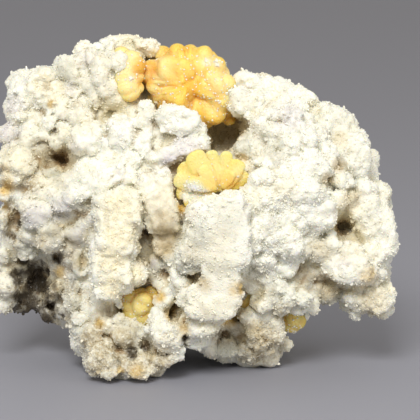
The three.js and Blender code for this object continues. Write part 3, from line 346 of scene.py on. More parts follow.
# Tints of the stone, some of them painted shade, each as spots of the view: middle, reach and strength.
STONE_TINTS = {
    "cream": [
        (118, 210, 26, 1), (120, 235, 24, 1), (112, 260, 22, 1), (112, 285, 18, 1), (135, 275, 14, 0.9),
        (108, 300, 10, 1), (130, 40, 22, 0.6), (150, 45, 10, 0.3), (15, 165, 22, 0.6), (342, 138, 10, 0.7),
        (346, 148, 10, 0.5), (350, 198, 14, 0.5), (346, 210, 14, 0.5), (122, 104, 14, 0.5),
        (200, 300, 30, 0.35), (210, 320, 20, 0.4), (57, 285, 12, 0.9), (100, 345, 25, 0.35),
        (150, 362, 25, 0.45), (255, 330, 14, 0.8), (375, 300, 20, 0.5), (167, 335, 14, 0.3),
        (276, 90, 8, 0.3), (60, 95, 14, 0.5), (45, 80, 14, 0.5), (390, 285, 12, 0.6), (380, 316, 10, 0.8),
        (125, 330, 14, 0.5), (130, 192, 14, 0.4), (337, 179, 8, 0.6),
    ],
    "glassy": [
        (66, 72, 14, 0.9), (55, 225, 22, 0.8), (45, 232, 20, 0.7), (35, 212, 16, 0.6), (75, 235, 16, 0.9),
        (25, 248, 14, 0.7), (55, 170, 12, 0.8), (160, 224, 16, 0.5), (165, 255, 14, 0.8),
        (345, 125, 24, 0.35), (353, 160, 22, 0.35), (200, 240, 16, 0.5), (155, 262, 10, 0.8),
        (190, 240, 16, 0.7), (190, 262, 14, 0.8), (240, 148, 12, 0.8), (276, 150, 14, 0.6),
        (265, 135, 10, 0.4), (325, 135, 14, 0.4), (318, 252, 18, 0.6), (328, 292, 16, 1), (80, 262, 10, 1),
        (72, 305, 12, 0.8), (130, 330, 16, 0.6), (137, 345, 8, 0.8), (225, 350, 14, 1), (300, 300, 14, 0.4),
        (275, 290, 16, 0.4), (250, 275, 14, 0.5), (10, 255, 10, 0.8), (50, 322, 10, 0.8), (90, 88, 12, 0.4),
        (240, 345, 14, 0.5),
    ],
    "beige": [
        (163, 205, 18, 0.35), (164, 220, 18, 0.7), (166, 234, 18, 1), (164, 246, 16, 1), (158, 250, 12, 1),
        (190, 252, 14, 0.35), (140, 244, 10, 0.9), (83, 262, 9, 0.6), (60, 232, 14, 0.25),
        (141, 262, 8, 0.6), (150, 208, 12, 0.3), (204, 284, 10, 0.7), (225, 135, 26, 0.6),
        (338, 140, 12, 0.45), (338, 166, 10, 0.8), (327, 180, 9, 0.8), (352, 198, 14, 0.3),
        (320, 250, 18, 0.45), (328, 285, 18, 0.8), (372, 300, 22, 0.35), (338, 224, 10, 1),
        (350, 208, 10, 0.3), (368, 276, 10, 0.3), (306, 272, 12, 0.5), (255, 330, 14, 0.4),
        (276, 152, 12, 0.15), (60, 165, 10, 0.6), (40, 240, 14, 0.4), (72, 248, 14, 0.5),
    ],
    # Cool lavender grey where shadow falls on the stone: painted shade.
    "lavender_shade": [
        (10, 133, 16, 0.6), (185, 152, 22, 0.7), (170, 160, 14, 0.8), (200, 143, 8, 0.5),
        (290, 117, 20, 0.5), (14, 105, 14, 0.5), (70, 88, 10, 0.4), (85, 60, 14, 0.3), (35, 215, 16, 0.6),
        (60, 210, 18, 0.5), (120, 178, 12, 0.3), (340, 264, 14, 0.3), (75, 150, 10, 0.3),
        (80, 235, 12, 0.5), (150, 262, 10, 0.6),
    ],
    # Iron stain, and painted shade over the lower-left recess and in creases.
    "stain_and_shade": [
        (45, 86, 7, 0.8), (42, 113, 6, 0.9), (51, 104, 6, 0.7), (76, 104, 6, 0.6), (98, 99, 6, 0.4),
        (97, 116, 8, 0.4), (55, 131, 5, 0.9), (40, 148, 14, 0.6), (40, 163, 12, 0.9), (62, 160, 14, 1),
        (30, 187, 14, 0.9), (15, 215, 16, 1), (12, 235, 16, 1), (80, 213, 12, 0.7), (70, 225, 6, 0.8),
        (97, 202, 8, 0.7), (45, 245, 10, 0.7), (57, 259, 14, 1), (35, 284, 18, 1), (30, 302, 16, 1),
        (50, 306, 12, 0.9), (22, 262, 12, 0.9), (45, 272, 12, 0.8), (147, 232, 10, 1), (160, 235, 18, 0.7),
        (150, 172, 8, 0.8), (154, 149, 5, 0.8), (146, 280, 8, 0.9), (165, 273, 8, 0.8), (182, 215, 8, 0.7),
        (225, 137, 24, 0.25), (241, 127, 12, 0.3), (215, 148, 12, 0.3), (172, 186, 6, 0.8),
        (178, 170, 9, 0.6), (154, 124, 9, 0.6), (137, 134, 6, 0.6), (134, 143, 4, 0.6), (107, 135, 5, 0.4),
        (143, 85, 7, 0.8), (202, 281, 9, 0.7), (192, 274, 7, 0.6), (250, 294, 14, 1), (236, 290, 10, 0.9),
        (240, 312, 10, 0.9), (185, 322, 10, 0.9), (176, 311, 9, 0.8), (184, 338, 8, 0.7),
        (160, 352, 12, 0.7), (130, 353, 12, 0.8), (146, 347, 9, 0.9), (108, 313, 9, 0.8), (98, 324, 8, 0.9),
        (118, 362, 8, 0.7), (125, 372, 12, 0.6), (140, 372, 10, 0.6), (105, 377, 14, 0.6),
        (341, 228, 11, 0.9), (327, 180, 10, 0.3), (338, 163, 10, 0.3), (318, 281, 12, 0.9),
        (305, 280, 14, 0.7), (301, 270, 7, 0.9), (338, 284, 12, 0.6), (326, 305, 14, 0.6),
        (371, 313, 8, 0.8), (356, 199, 6, 0.5), (375, 256, 8, 0.4), (270, 106, 7, 0.3), (256, 126, 5, 0.4),
        (222, 335, 14, 0.9), (240, 335, 12, 0.7), (284, 311, 14, 0.7), (52, 322, 14, 0.8),
        (30, 312, 18, 0.9), (65, 325, 8, 0.9), (107, 222, 8, 0.4), (112, 234, 4, 0.5), (98, 229, 6, 0.4),
        (118, 277, 6, 0.5), (210, 188, 8, 0.6), (84, 362, 8, 0.5), (88, 375, 8, 0.5), (42, 290, 34, 1),
        (30, 316, 30, 1), (56, 262, 14, 1), (48, 312, 20, 1), (20, 295, 20, 1), (62, 320, 20, 0.7),
        (14, 262, 14, 0.6), (74, 262, 16, 0.5), (72, 290, 12, 0.6), (100, 370, 24, 1), (130, 365, 26, 1),
        (95, 340, 22, 1), (262, 345, 30, 1.1), (120, 343, 26, 1.1), (160, 358, 22, 1.1), (105, 355, 26, 1),
        (75, 300, 18, 0.4), (60, 240, 22, 0.35), (60, 250, 16, 0.4),
    ],
    # Painted shade where the stone lies deep in shadow, partly dark rock, darkest in the lower-left recess.
    "dark": [
        (36, 284, 20, 1), (30, 302, 18, 1), (45, 272, 9, 0.8), (57, 259, 9, 1), (60, 159, 8, 0.2),
        (15, 222, 9, 1), (10, 238, 8, 1), (147, 231, 6, 1), (346, 232, 6, 0.7), (50, 306, 9, 1),
        (22, 262, 8, 0.7), (146, 347, 8, 0.9), (132, 352, 10, 0.8), (119, 348, 6, 0.6), (301, 270, 4, 0.5),
        (154, 149, 3, 0.8), (146, 280, 4, 0.9), (165, 273, 5, 0.9), (55, 130, 3.5, 0.9), (182, 222, 4, 0.8),
        (184, 338, 6, 0.7), (192, 274, 6, 0.6), (250, 294, 7, 0.7), (222, 335, 12, 0.4), (40, 312, 16, 0.8),
        (36, 270, 16, 0.8), (55, 312, 10, 0.7), (20, 275, 14, 0.9), (22, 300, 14, 0.9), (42, 322, 14, 0.9),
        (60, 318, 8, 0.7), (28, 318, 14, 1), (12, 316, 10, 0.7), (72, 280, 7, 0.6), (50, 262, 10, 0.6),
        (40, 288, 32, 0.5), (30, 310, 26, 0.6), (160, 353, 7, 0.4), (118, 362, 4, 0.4), (64, 322, 5, 0.6),
        (152, 172, 4, 0.6),
    ],
    "gold": [
        (5, 190, 8, 0.7), (8, 185, 10, 0.7), (3, 205, 7, 0.8), (5, 170, 8, 0.4), (368, 275, 12, 0.45),
        (362, 282, 9, 0.4), (232, 122, 8, 1), (148, 290, 12, 1), (160, 297, 8, 0.8), (236, 288, 10, 0.9),
        (250, 296, 12, 0.7), (228, 320, 10, 0.9), (181, 208, 7, 1), (190, 196, 10, 0.5), (176, 312, 8, 0.5),
        (184, 330, 8, 0.4), (158, 308, 10, 0.7), (170, 315, 7, 0.5), (60, 272, 8, 0.6), (100, 323, 7, 0.6),
        (136, 372, 10, 0.5), (120, 372, 6, 0.5), (295, 315, 14, 0.9), (285, 320, 10, 0.7),
        (52, 104, 6, 0.5), (242, 160, 8, 0.4),
    ],
}

# The crusts: name, lumps, blocky forms, and how far their lumps are sunk, as a share of their depth.
CRUSTS = [
    ("upper_left_crust", UPPER_LEFT_LUMPS, [], 0.6), ("crest_crust", CREST_LUMPS, [], 0.7),
    ("middle_crust", MIDDLE_LUMPS, MIDDLE_SLABS, 0.5), ("right_crest_crust", RIGHT_CREST_LUMPS, [], 0.9),
    ("central_crust", CENTRAL_LUMPS, [], 0.95), ("right_crust", RIGHT_LUMPS, RIGHT_SLABS, 0.75),
    ("mass_crust", MASS_LUMPS, MASS_SLABS, 0.5), ("column_crust", COLUMN_LUMPS, COLUMN_SLABS, 0.5),
    ("finger_crust", [], FINGER_SLABS, 0.5), ("lower_left_crust", LOWER_LEFT_LUMPS, [], 0.5),
    ("foot_crust", FOOT_LUMPS, [], 0.5), ("collar_crust", COLLAR_LUMPS, [], 0.5),
]

# Fans of a rosette, in pixels of the view: hub, first and last angle, reach, height, depth of the hub,
# number of ribs, and how far the fan leans to the eye in degrees.
TOP_FANS = [
    (194, 90, 14, 76, 38, 22, 24, 17, 0), (196, 92, -30, 20, 41, 23, 25, 15, 0),
    (197, 95, -104, -36, 35, 21, 22, 17, 0), (187, 87, 182, 264, 37, 21, 23, 21, 0),
    (186, 84, 96, 178, 38, 21, 22, 19, 0), (190, 88, 56, 112, 43, 18, 26, 16, 0),
    (196, 92, -20, 60, 26, 15, 11, 14, 12), (186, 88, 190, 260, 26, 14, 12, 13, 12),
]
# Balls: middle, half width, half height, half depth, how far they stand out, and ribs.
TOP_BALLS = [
    (171, 70, 15, 14, 8, 2, 15), (163, 54, 9, 9, 9, 0, 9), (177, 51, 9, 8, 9, 0, 9),
    (190, 52, 9, 8, 9, 1, 9), (204, 54, 9, 9, 9, 1, 9), (151, 72, 12, 13, 9, 1, 11),
    (190, 107, 10, 10, 6, 3, 11), (165, 108, 5, 5, 5, 2, 5), (155, 99, 9, 9, 9, 1, 9),
    (217, 65, 9, 9, 9, 1, 9), (226, 84, 10, 11, 9, 0, 9), (230, 121, 7, 6, 6, 2, 7),
    (214, 112, 12, 13, 7, 1, 13), (184, 70, 11, 12, 7, 2, 13), (199, 70, 11, 12, 7, 1, 13),
    (158, 86, 12, 10, 8, 1, 11),
]
UPPER_LEFT_BALLS = [
    (131, 62, 13, 11, 5, 2, 9), (128, 78, 13, 12, 5, 2, 9), (130, 91, 12, 10, 5, 2, 9),
    (122, 54, 9, 7, 5, 1, 7), (138, 56, 6, 6, 5, 1, 5), (139, 66, 6, 6, 5, 1, 5), (138, 77, 6, 6, 5, 2, 5),
    (138, 88, 6, 6, 5, 2, 5), (134, 97, 6, 5, 5, 2, 5), (135, 66, 9, 12, 5, 1, 6),
    (129, 71, 12, 11, 5, 2, 7), (128, 86, 12, 10, 5, 2, 7), (120, 72, 7, 14, 5, 1, 6),
]

# Petals of the middle fan: hub, tip, width, depth of the hub, and lean to the eye.
MIDDLE_PETALS = [
    (216, 194, 193, 153, 21, 5, 4), (219, 193, 211, 151, 14, 8, 2), (222, 193, 227, 152, 13, 7, 3),
    (224, 192, 240, 161, 16, 5, 2), (226, 192, 247, 173, 15, 8, 2), (215, 193, 180, 166, 17, 8, 4),
    (213, 194, 175, 178, 16, 6, 3), (212, 195, 177, 192, 15, 8, 2), (212, 197, 184, 202, 13, 6, 4),
    (216, 190, 201, 167, 13, 4, 9), (222, 189, 231, 171, 13, 5, 9),
    (218, 189, 188, 182, 15, 4, 10),
]
LOWER_LEFT_FANS = [(141, 308, 0, 360, 19, 6, 9, 18, 0)]
LOWER_LEFT_BALLS = [
    (131, 302, 10, 12, 4, 0, 13), (142, 304, 9, 13, 4, 1, 13), (134, 318, 11, 9, 4, 0, 11),
    (151, 294, 8, 8, 4, 1, 9), (157, 300, 6, 7, 4, 1, 7),
]
LOWER_RIGHT_FANS = [(291, 320, 0, 360, 13, 7, 8, 14, 0)]
LOWER_RIGHT_BALLS = [
    (293, 318, 8, 9, 4, 2, 9), (299, 321, 7, 9, 4, 1, 9), (285, 319, 6, 6, 4, 1, 7),
]
RECESS_FANS = [(240, 298, 0, 360, 13, 7, 8, 14, 0)]
RECESS_BALLS = [(236, 296, 7, 14, 6, 2, 7), (249, 293, 7, 8, 6, 2, 6), (228, 320, 6, 5, 5, 1, 5)]

# Each rosette's node, slot, heart in the view, how far its solid sinks, fans, balls, petals and seed.
ROSETTES = [
    ("top_rosette", "stellerite", (192, 89), 0.4, TOP_FANS, TOP_BALLS, [], 51),
    ("upper_left_rosette", "pale_stellerite", (150, 78), 0.4, [], UPPER_LEFT_BALLS, [], 52),
    ("middle_fan", "pale_stellerite", (222, 187), 1.7, [], [], MIDDLE_PETALS, 53),
    ("lower_left_rosette", "stellerite", (146, 306), 1.5, LOWER_LEFT_FANS, LOWER_LEFT_BALLS, [], 54),
    ("lower_right_rosette", "stellerite", (290, 318), 1, LOWER_RIGHT_FANS, LOWER_RIGHT_BALLS, [], 55),
    ("recess_rosette", "stellerite", (241, 300), 1, RECESS_FANS, RECESS_BALLS, [], 56),
]

# White crystals on the rosettes, as spots.
FROST = [
    (207, 62, 5, 1), (218, 63, 5, 1), (225, 100, 30, 0.45), (190, 90, 48, 0.25), (156, 106, 6, 0.9),
    (235, 118, 5, 0.8), (158, 315, 10, 1), (150, 328, 9, 1), (136, 330, 8, 0.8), (124, 300, 5, 0.7),
    (241, 295, 4, 1), (240, 304, 4, 1), (238, 288, 4, 1), (195, 190, 12, 1), (186, 187, 8, 0.9),
    (204, 194, 8, 0.8), (118, 62, 7, 0.9), (131, 78, 5, 0.9), (292, 330, 8, 0.9), (228, 90, 8, 0.8),
    (212, 78, 7, 0.8), (200, 75, 6, 0.7), (180, 120, 8, 0.8), (150, 290, 8, 0.4), (140, 308, 22, 0.2),
    (128, 75, 28, 0.3), (170, 70, 14, 0.2), (213, 175, 26, 0.12), (292, 320, 16, 0.25),
]

# Where larger white crystals stand on the rosettes.
CLUSTERS = [
    (207, 61, 5, 1), (217, 63, 5, 1), (118, 62, 6, 1), (131, 78, 4, 1), (192, 92, 4, 0.9),
    (157, 105, 7, 0.7), (196, 189, 9, 1), (187, 186, 6, 0.9), (156, 322, 8, 1), (229, 92, 5, 0.7),
    (158, 304, 6, 0.9), (145, 329, 6, 0.9), (240, 297, 5, 1), (180, 121, 6, 0.7), (212, 80, 5, 0.5),
]

# Tints of the rosettes, as spots of the view.
ROSETTE_TINTS = {
    "amber": [
        (150, 68, 13, 1), (148, 82, 8, 0.9), (164, 50, 10, 0.5), (165, 108, 8, 0.8), (231, 121, 9, 0.8),
        (236, 84, 8, 0.5), (194, 93, 6, 0.7), (190, 108, 8, 0.25), (152, 290, 12, 0.8), (185, 46, 8, 0.4),
        (240, 300, 20, 0.6), (292, 325, 12, 0.5),
    ],
    "dull": [
        (140, 308, 24, 1), (150, 290, 14, 0.6), (157, 315, 12, 0.9), (240, 298, 22, 0.8),
        (292, 320, 18, 0.9), (228, 320, 8, 0.7), (118, 52, 8, 0.6),
    ],
    # White crystals on the rosettes, and a painted highlight on the middle fan's lower left.
    "white": [
        (194, 191, 13, 1), (204, 194, 9, 0.8), (186, 196, 8, 0.7), (207, 62, 6, 0.5), (217, 63, 6, 0.5),
        (234, 98, 9, 0.4), (131, 78, 4, 0.7), (118, 62, 6, 0.8),
    ],
    "pale": [
        (222, 80, 22, 0.8), (215, 105, 16, 0.5), (205, 60, 14, 0.6), (228, 100, 12, 0.5), (192, 190, 16, 1),
        (240, 172, 14, 0.8), (180, 182, 16, 0.9), (128, 72, 44, 1), (190, 107, 9, 0.4), (210, 165, 34, 0.6),
        (140, 306, 20, 0.5),
    ],
}

# Colours of the stone, then of the golden crystals.
WHITE = (0.90, 0.89, 0.79, 1)
SOFT_GREY = (0.80, 0.80, 0.70, 1)
WARM_WHITE = (0.90, 0.87, 0.73, 1)
# A tan for random patches and for painted shade in creases, and an olive painted shade for sheltered
# hollows.
TAN_AND_CREASE_SHADE = (0.76, 0.68, 0.46, 1)
OLIVE_HOLLOW_SHADE = (0.48, 0.40, 0.23, 1)
STAIN_TAN = (0.45, 0.36, 0.20, 1)
# Brown of the creases, partly real stain and partly painted shade.
BROWN_STAIN_AND_SHADE = (0.40, 0.27, 0.13, 1)
# Dark rock and painted shade of the deep recesses.
DARK_EARTH_AND_SHADE = (0.075, 0.058, 0.036, 1)
GOLD_STAIN = (0.75, 0.50, 0.12, 1)
GOLD = (0.90, 0.56, 0.09, 1)
BRIGHT_GOLD = (0.94, 0.67, 0.16, 1)
# Painted shade for the rosettes' creases and sheltered places.
AMBER_SHADE = (0.78, 0.42, 0.08, 1)
# White of the crystals on the rosettes, and of the painted highlight on the middle fan.
FROST_AND_HIGHLIGHT_WHITE = (0.96, 0.92, 0.80, 1)

# What each tint does: its spots' name, its colour and its full strength.
STONE_TINT_COLOURS = [
    ("cream", (0.87, 0.80, 0.58, 1), 0.9), ("glassy", (0.60, 0.59, 0.48, 1), 0.85),
    ("beige", (0.60, 0.49, 0.30, 1), 0.9), ("lavender_shade", (0.68, 0.64, 0.68, 1), 0.8),
]
GOLD_TINT_COLOURS = [
    ("pale", (0.96, 0.81, 0.42, 1), 0.8), ("amber", (0.80, 0.43, 0.05, 1), 0.9),
    ("dull", (0.86, 0.72, 0.28, 1), 0.8),
]

# Places darkened with painted shade: the mark that tells, and the values at which it begins and is whole.
CREASED_STONE = ("hollow", 0.02, 0.25)
SHELTERED_STONE = ("shelter", 0.28, 0.62)
DEEP_STONE = ("shelter", 0.5, 0.92)
SHELTERED_GOLD = ("shelter", 0.35, 0.85)
CREASED_GOLD = ("hollow", 0.01, 0.12)
# Painted shade on the stone: tan in creases and sheltered places, olive in the deepest hollows.
STONE_SHADES = [
    (CREASED_STONE, 0.4, TAN_AND_CREASE_SHADE), (SHELTERED_STONE, 0.6, TAN_AND_CREASE_SHADE), (DEEP_STONE, 0.6, OLIVE_HOLLOW_SHADE),
]
GOLD_SHADES = [(SHELTERED_GOLD, 0.4, AMBER_SHADE), (CREASED_GOLD, 0.45, AMBER_SHADE)]

# The values of a noise between which its patches begin and are whole.
PATCH_EDGES = (0.35, 0.65)

# How many patches of an uneven colour or finish lie on a metre.
WIDE_PATCHES = 55
BROAD_PATCHES = 140
MIDDLE_PATCHES = 420
FINE_PATCHES = 1500
GOLD_PATCHES = 260
STONE_DULLNESS = 900
CRYSTAL_DULLNESS = 700
GOLD_DULLNESS = 1300

# Fine relief: grains on a metre, their height, and its strength.
STONE_GRAIN = (2600, 0.12 * MM, 0.45)
GOLD_GRAIN = (2200, 0.14 * MM, 0.5)

# Light that soaks in: share, reach of its red, green and blue, and its scale.
STONE_GLOW = (0.5, (1, 0.85, 0.6), 1.2 * MM)
GOLD_GLOW = (0.8, (1, 0.76, 0.38), 2.2 * MM)

# The room: each light's name, place, size, power and colour, then floor and sky.
LIGHTS = [
    ("key", (-0.08, -0.53, 0.46), 0.25, 3.8, (1, 0.985, 0.95)),
    ("fill", (0.5, -0.4, 0.25), 0.5, 0.9, (1, 0.98, 0.96)),
]
LIGHT_AIM = Vector((0, 0, 0.03))
FLOOR_SIZE = 6
FLOOR_GREY = (0.31, 0.315, 0.365, 1)
FLOOR_ROUGHNESS = 0.6
SKY_COLOUR = (0.95, 0.91, 0.85, 1)
SKY_STRENGTH = 0.48


# Small modelling helpers.

def deselect():
    if bpy.context.object and bpy.context.object.mode != "OBJECT":
        bpy.ops.object.mode_set(mode="OBJECT")
    bpy.ops.object.select_all(action="DESELECT")


def choose(piece):
    deselect()
    piece.select_set(True)
    bpy.context.view_layer.objects.active = piece


def shape_with(piece, kind, **settings):
    """Adds one modifier to a piece and applies it."""
    choose(piece)
    modifier = piece.modifiers.new(kind.title(), kind)
    for name, value in settings.items():
        setattr(modifier, name, value)
    bpy.ops.object.modifier_apply(modifier=modifier.name)


def forget(piece):
    mesh = piece.data
    bpy.data.objects.remove(piece)
    bpy.data.meshes.remove(mesh)


def link_to_scene(name, data):
    piece = bpy.data.objects.new(name, data)
    bpy.context.scene.collection.objects.link(piece)
    return piece


def merged_copy(node, name):
    """A copy of a CAD node with its loose triangles merged."""
    piece = link_to_scene(name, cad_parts[node].data.copy())
    choose(piece)
    bpy.ops.object.mode_set(mode="EDIT")
    bpy.ops.mesh.select_all(action="SELECT")
    bpy.ops.mesh.remove_doubles(threshold=MERGE_DISTANCE)
    bpy.ops.object.mode_set(mode="OBJECT")
    piece.data.materials.clear()
    return piece


def doubled(piece):
    """A second copy of a piece, with its own mesh."""
    twin = piece.copy()
    twin.data = piece.data.copy()
    bpy.context.scene.collection.objects.link(twin)
    return twin


def place_in_mesh():
    bpy.ops.object.transform_apply(location=True, rotation=True, scale=True)


def joined(pieces, name):
    """Joins pieces into one, with its place in its mesh."""
    deselect()
    for piece in pieces:
        piece.select_set(True)
    bpy.context.view_layer.objects.active = pieces[0]
    bpy.ops.object.join()
    whole = bpy.context.active_object
    whole.name = name
    place_in_mesh()
    return whole


def melted(piece, voxel, smoothing=0):
    """Makes one closed skin of all that overlaps in a piece."""
    shape_with(piece, "REMESH", mode="VOXEL", voxel_size=voxel)
    if smoothing:
        shape_with(piece, "SMOOTH", factor=0.5, iterations=smoothing)


def thin_out(piece, triangles):
    """Takes faces out of a piece, where it is flattest, until it has few enough."""
    ratio = triangles / sum(len(face.vertices) - 2 for face in piece.data.polygons)
    if ratio < 1:
        shape_with(piece, "DECIMATE", ratio=ratio)


def sunk_copy(piece, depth):
    """A copy of a piece whose surface lies deeper."""
    twin = doubled(piece)
    shape_with(twin, "DISPLACE", strength=-depth, mid_level=0)
    return twin


def smoothly_shaded(piece):
    choose(piece)
    bpy.ops.object.shade_smooth()


# Where the eye looks.

def eye_ray(pixel_x, pixel_y):
    """The direction in which the eye sees a pixel of the photographed frame."""
    middle = IMAGE_SIZE / 2
    direction = ACROSS * (pixel_x - middle) - UP * (pixel_y - middle) - NEAR * FOCAL_PIXELS
    return direction.normalized()


def surface_tree(piece):
    return BVHTree.FromObject(piece, bpy.context.evaluated_depsgraph_get())


def seen_place(tree, pixel_x, pixel_y, within=None):
    """Where the eye meets the stone at a pixel, or the nearest stone beside it, if within a reach."""
    ray = eye_ray(pixel_x, pixel_y)
    place = tree.ray_cast(EYE, ray)[0]
    if place is not None:
        return place
    nearest = []
    for step in range(-BESIDE_STEPS, BESIDE_STEPS + 1):
        beside = EYE + ray * (VIEW_DISTANCE + step * BESIDE_STEP * MM)
        found, _, _, distance = tree.find_nearest(beside)
        nearest.append((distance, step, found))
    distance, _, found = min(nearest)
    return found if within is None or distance < within else None


def view_turn(turn):
    """Lays a shape's own axes across, up and towards the eye, and turns it in the view."""
    basis = Matrix((ACROSS, UP, NEAR)).transposed()
    return basis @ Matrix.Rotation(math.radians(turn), 3, "Z")


def own_draw(place):
    """Random draws that depend on a place alone."""
    return random.Random(round(place.x * 1e6) + round(place.z * 1e6))


# Marks on a surface that the eye sees, or doesn't.

def new_marks(piece, name):
    return piece.data.attributes.new(name, "FLOAT", "POINT").data


def paint_spots(piece, name, spots, tree):
    """Stores how strongly each point lies within spots that the eye sees on the tree's surface."""
    points = piece.data.vertices
    near_points = KDTree(len(points))
    for index, point in enumerate(points):
        near_points.insert(point.co, index)
    near_points.balance()
    values = [0.0] * len(points)
    for x, y, reach, strength in spots:
        reach *= PIXEL
        middle = seen_place(tree, x, y, reach)
        if middle is None:
            continue
        for place, index, _ in near_points.find_range(middle, SPOT_DEPTH * reach):
            offset = place - middle
            depth = abs(offset.dot(NEAR))
            aside = math.sqrt(max(0, offset.length_squared - depth * depth))
            fade = min(1, SPOT_RISE * max(0, 1 - aside / reach))
            fade *= min(1, SPOT_RISE_IN_DEPTH * (1 - depth / (SPOT_DEPTH * reach)))
            values[index] = max(values[index], strength * fade)
    new_marks(piece, name).foreach_set("value", values)


def paint_tints(piece, tints, tree):
    for name, spots in tints.items():
        paint_spots(piece, name, spots, tree)


def mark_unseen(piece, name):
    """Marks where the eye doesn't reach, which no list of places covers."""
    tree = surface_tree(piece)
    marks = new_marks(piece, name)
    for index, point in enumerate(piece.data.vertices):
        ray = (point.co - EYE).normalized()
        met = tree.ray_cast(EYE, ray)[0]
        seen = met is not None and (met - point.co).length < SEEN_MARGIN
        marks[index].value = 0 if seen else 1


def mark_grainy(piece, tree):
    """Marks where the surface is grainy, which is all but the smooth patches."""
    paint_spots(piece, "grainy", SMOOTH_PATCHES, tree)
    for mark in piece.data.attributes["grainy"].data:
        mark.value = 1 - mark.value


def mark_knobbly(piece, tree):
    """Marks the knobbly patches, what the eye doesn't see a little less, and the rest faintly."""
    mark_unseen(piece, "out_of_sight")
    paint_spots(piece, "knobbly", KNOBBLY_PATCHES, tree)
    unseen = piece.data.attributes["out_of_sight"].data
    for index, mark in enumerate(piece.data.attributes["knobbly"].data):
        mark.value = max(mark.value, KNOBBLY_AT_LEAST, unseen[index].value * KNOBBLY_UNSEEN)


# Networks of nodes, for shapes and for materials.

def feed(tree, value, socket):
    """Links a socket to a socket, or sets a plain value on it."""
    if isinstance(value, bpy.types.NodeSocket):
        tree.links.new(value, socket)
    else:
        socket.default_value = value


def add_node(tree, kind, inputs=(), **settings):
    """Adds a node with its settings, feeds its inputs by name or number, and gives its outputs."""
    added = tree.nodes.new(kind)
    for name, setting in settings.items():
        setattr(added, name, setting)
    for name, value in dict(inputs).items():
        feed(tree, value, added.inputs[name])
    return added.outputs


def remap_evenly(tree, value, low, high, new_low, new_high, interpolation="LINEAR"):
    inputs = {"Value": value, "From Min": low, "From Max": high, "To Min": new_low, "To Max": new_high}
    return add_node(tree, "ShaderNodeMapRange", inputs, interpolation_type=interpolation)["Result"]


def remap(tree, value, low, high, new_low=0, new_high=1):
    """Remaps a value with a soft start and a soft end."""
    return remap_evenly(tree, value, low, high, new_low, new_high, "SMOOTHSTEP")


def new_network():
    """An empty network that changes a shape, and the shape that it is given."""
    group = bpy.data.node_groups.new("Changed shape", "GeometryNodeTree")
    for way in ("INPUT", "OUTPUT"):
        group.interface.new_socket("Geometry", in_out=way, socket_type="NodeSocketGeometry")
    return group, add_node(group, "NodeGroupInput")[0]


def apply_network(piece, group, result):
    add_node(group, "NodeGroupOutput", {0: result})
    choose(piece)
    modifier = piece.modifiers.new("Nodes", "NODES")
    modifier.node_group = group
    bpy.ops.object.modifier_apply(modifier=modifier.name)
    bpy.data.node_groups.remove(group)


def stored_mark(group, name):
    return add_node(group, "GeometryNodeInputNamedAttribute", {"Name": name}, data_type="FLOAT")["Attribute"]


def store_mark(piece, group, source, name, value):
    inputs = {"Geometry": source, "Name": name, "Value": value}
    stored = add_node(group, "GeometryNodeStoreNamedAttribute", inputs, data_type="FLOAT")
    apply_network(piece, group, stored["Geometry"])


def random_vector(group, low, high, seed):
    inputs = {"Min": low, "Max": high, "Seed": seed}
    return add_node(group, "FunctionNodeRandomValue", inputs, data_type="FLOAT_VECTOR")["Value"]


def vector_math(group, operation, inputs):
    return add_node(group, "ShaderNodeVectorMath", inputs, operation=operation)


def scatter(piece, grain, spacing, smallest, largest, tilt, seed, mask=""):
    """Turns a piece into copies of a grain strewn over it, each with its own size and turn."""
    group, source = new_network()
    points = add_node(group, "GeometryNodeDistributePointsOnFaces", {
        "Mesh": source, "Distance Min": spacing, "Density Max": 1.2 / spacing ** 2, "Seed": seed,
        "Density Factor": stored_mark(group, mask) if mask else 1}, distribute_method="POISSON")
    shape = add_node(group, "GeometryNodeObjectInfo", {"Object": grain})["Geometry"]
    strewn = add_node(group, "GeometryNodeInstanceOnPoints", {
        "Points": points["Points"], "Instance": shape, "Rotation": points["Rotation"],
        "Scale": random_vector(group, smallest, largest, seed + 1)})["Instances"]
    spin = random_vector(group, (-tilt, -tilt, -math.pi), (tilt, tilt, math.pi), seed + 2)
    turned = add_node(group, "GeometryNodeRotateInstances", {"Instances": strewn, "Rotation": spin})
    real = add_node(group, "GeometryNodeRealizeInstances", {"Geometry": turned["Instances"]})
    apply_network(piece, group, real["Geometry"])


def mark_hollows(piece, reach):
    """Stores how far each point lies below the smoothed surface around it, in millimetres."""
    group, source = new_network()
    place = add_node(group, "GeometryNodeInputPosition")[0]
    level = add_node(group, "GeometryNodeBlurAttribute", {"Value": place, "Iterations": reach},
                 data_type="FLOAT_VECTOR")["Value"]
    gap = vector_math(group, "SUBTRACT", {0: level, 1: place})["Vector"]
    normal = add_node(group, "GeometryNodeInputNormal")[0]
    depth = vector_math(group, "DOT_PRODUCT", {0: gap, 1: normal})["Value"]
    in_mm = add_node(group, "ShaderNodeMath", {0: depth, 1: MM}, operation="DIVIDE")[0]
    store_mark(piece, group, source, "hollow", in_mm)


def relief_level(group, kind, cell, height):
    """The height of a relief at each point: waves, or rounded knobs."""
    if kind == "waves":
        wave = add_node(group, "ShaderNodeTexNoise", {"Scale": 1 / cell, "Detail": 1})["Fac"]
        return remap_evenly(group, wave, 0.3, 0.7, -height, height)
    distance = add_node(group, "ShaderNodeTexVoronoi", {"Scale": 1 / cell})["Distance"]
    square = add_node(group, "ShaderNodeMath", {0: distance, 1: 2}, operation="POWER")[0]
    return remap_evenly(group, square, 0, 0.5, height, -0.2 * height)


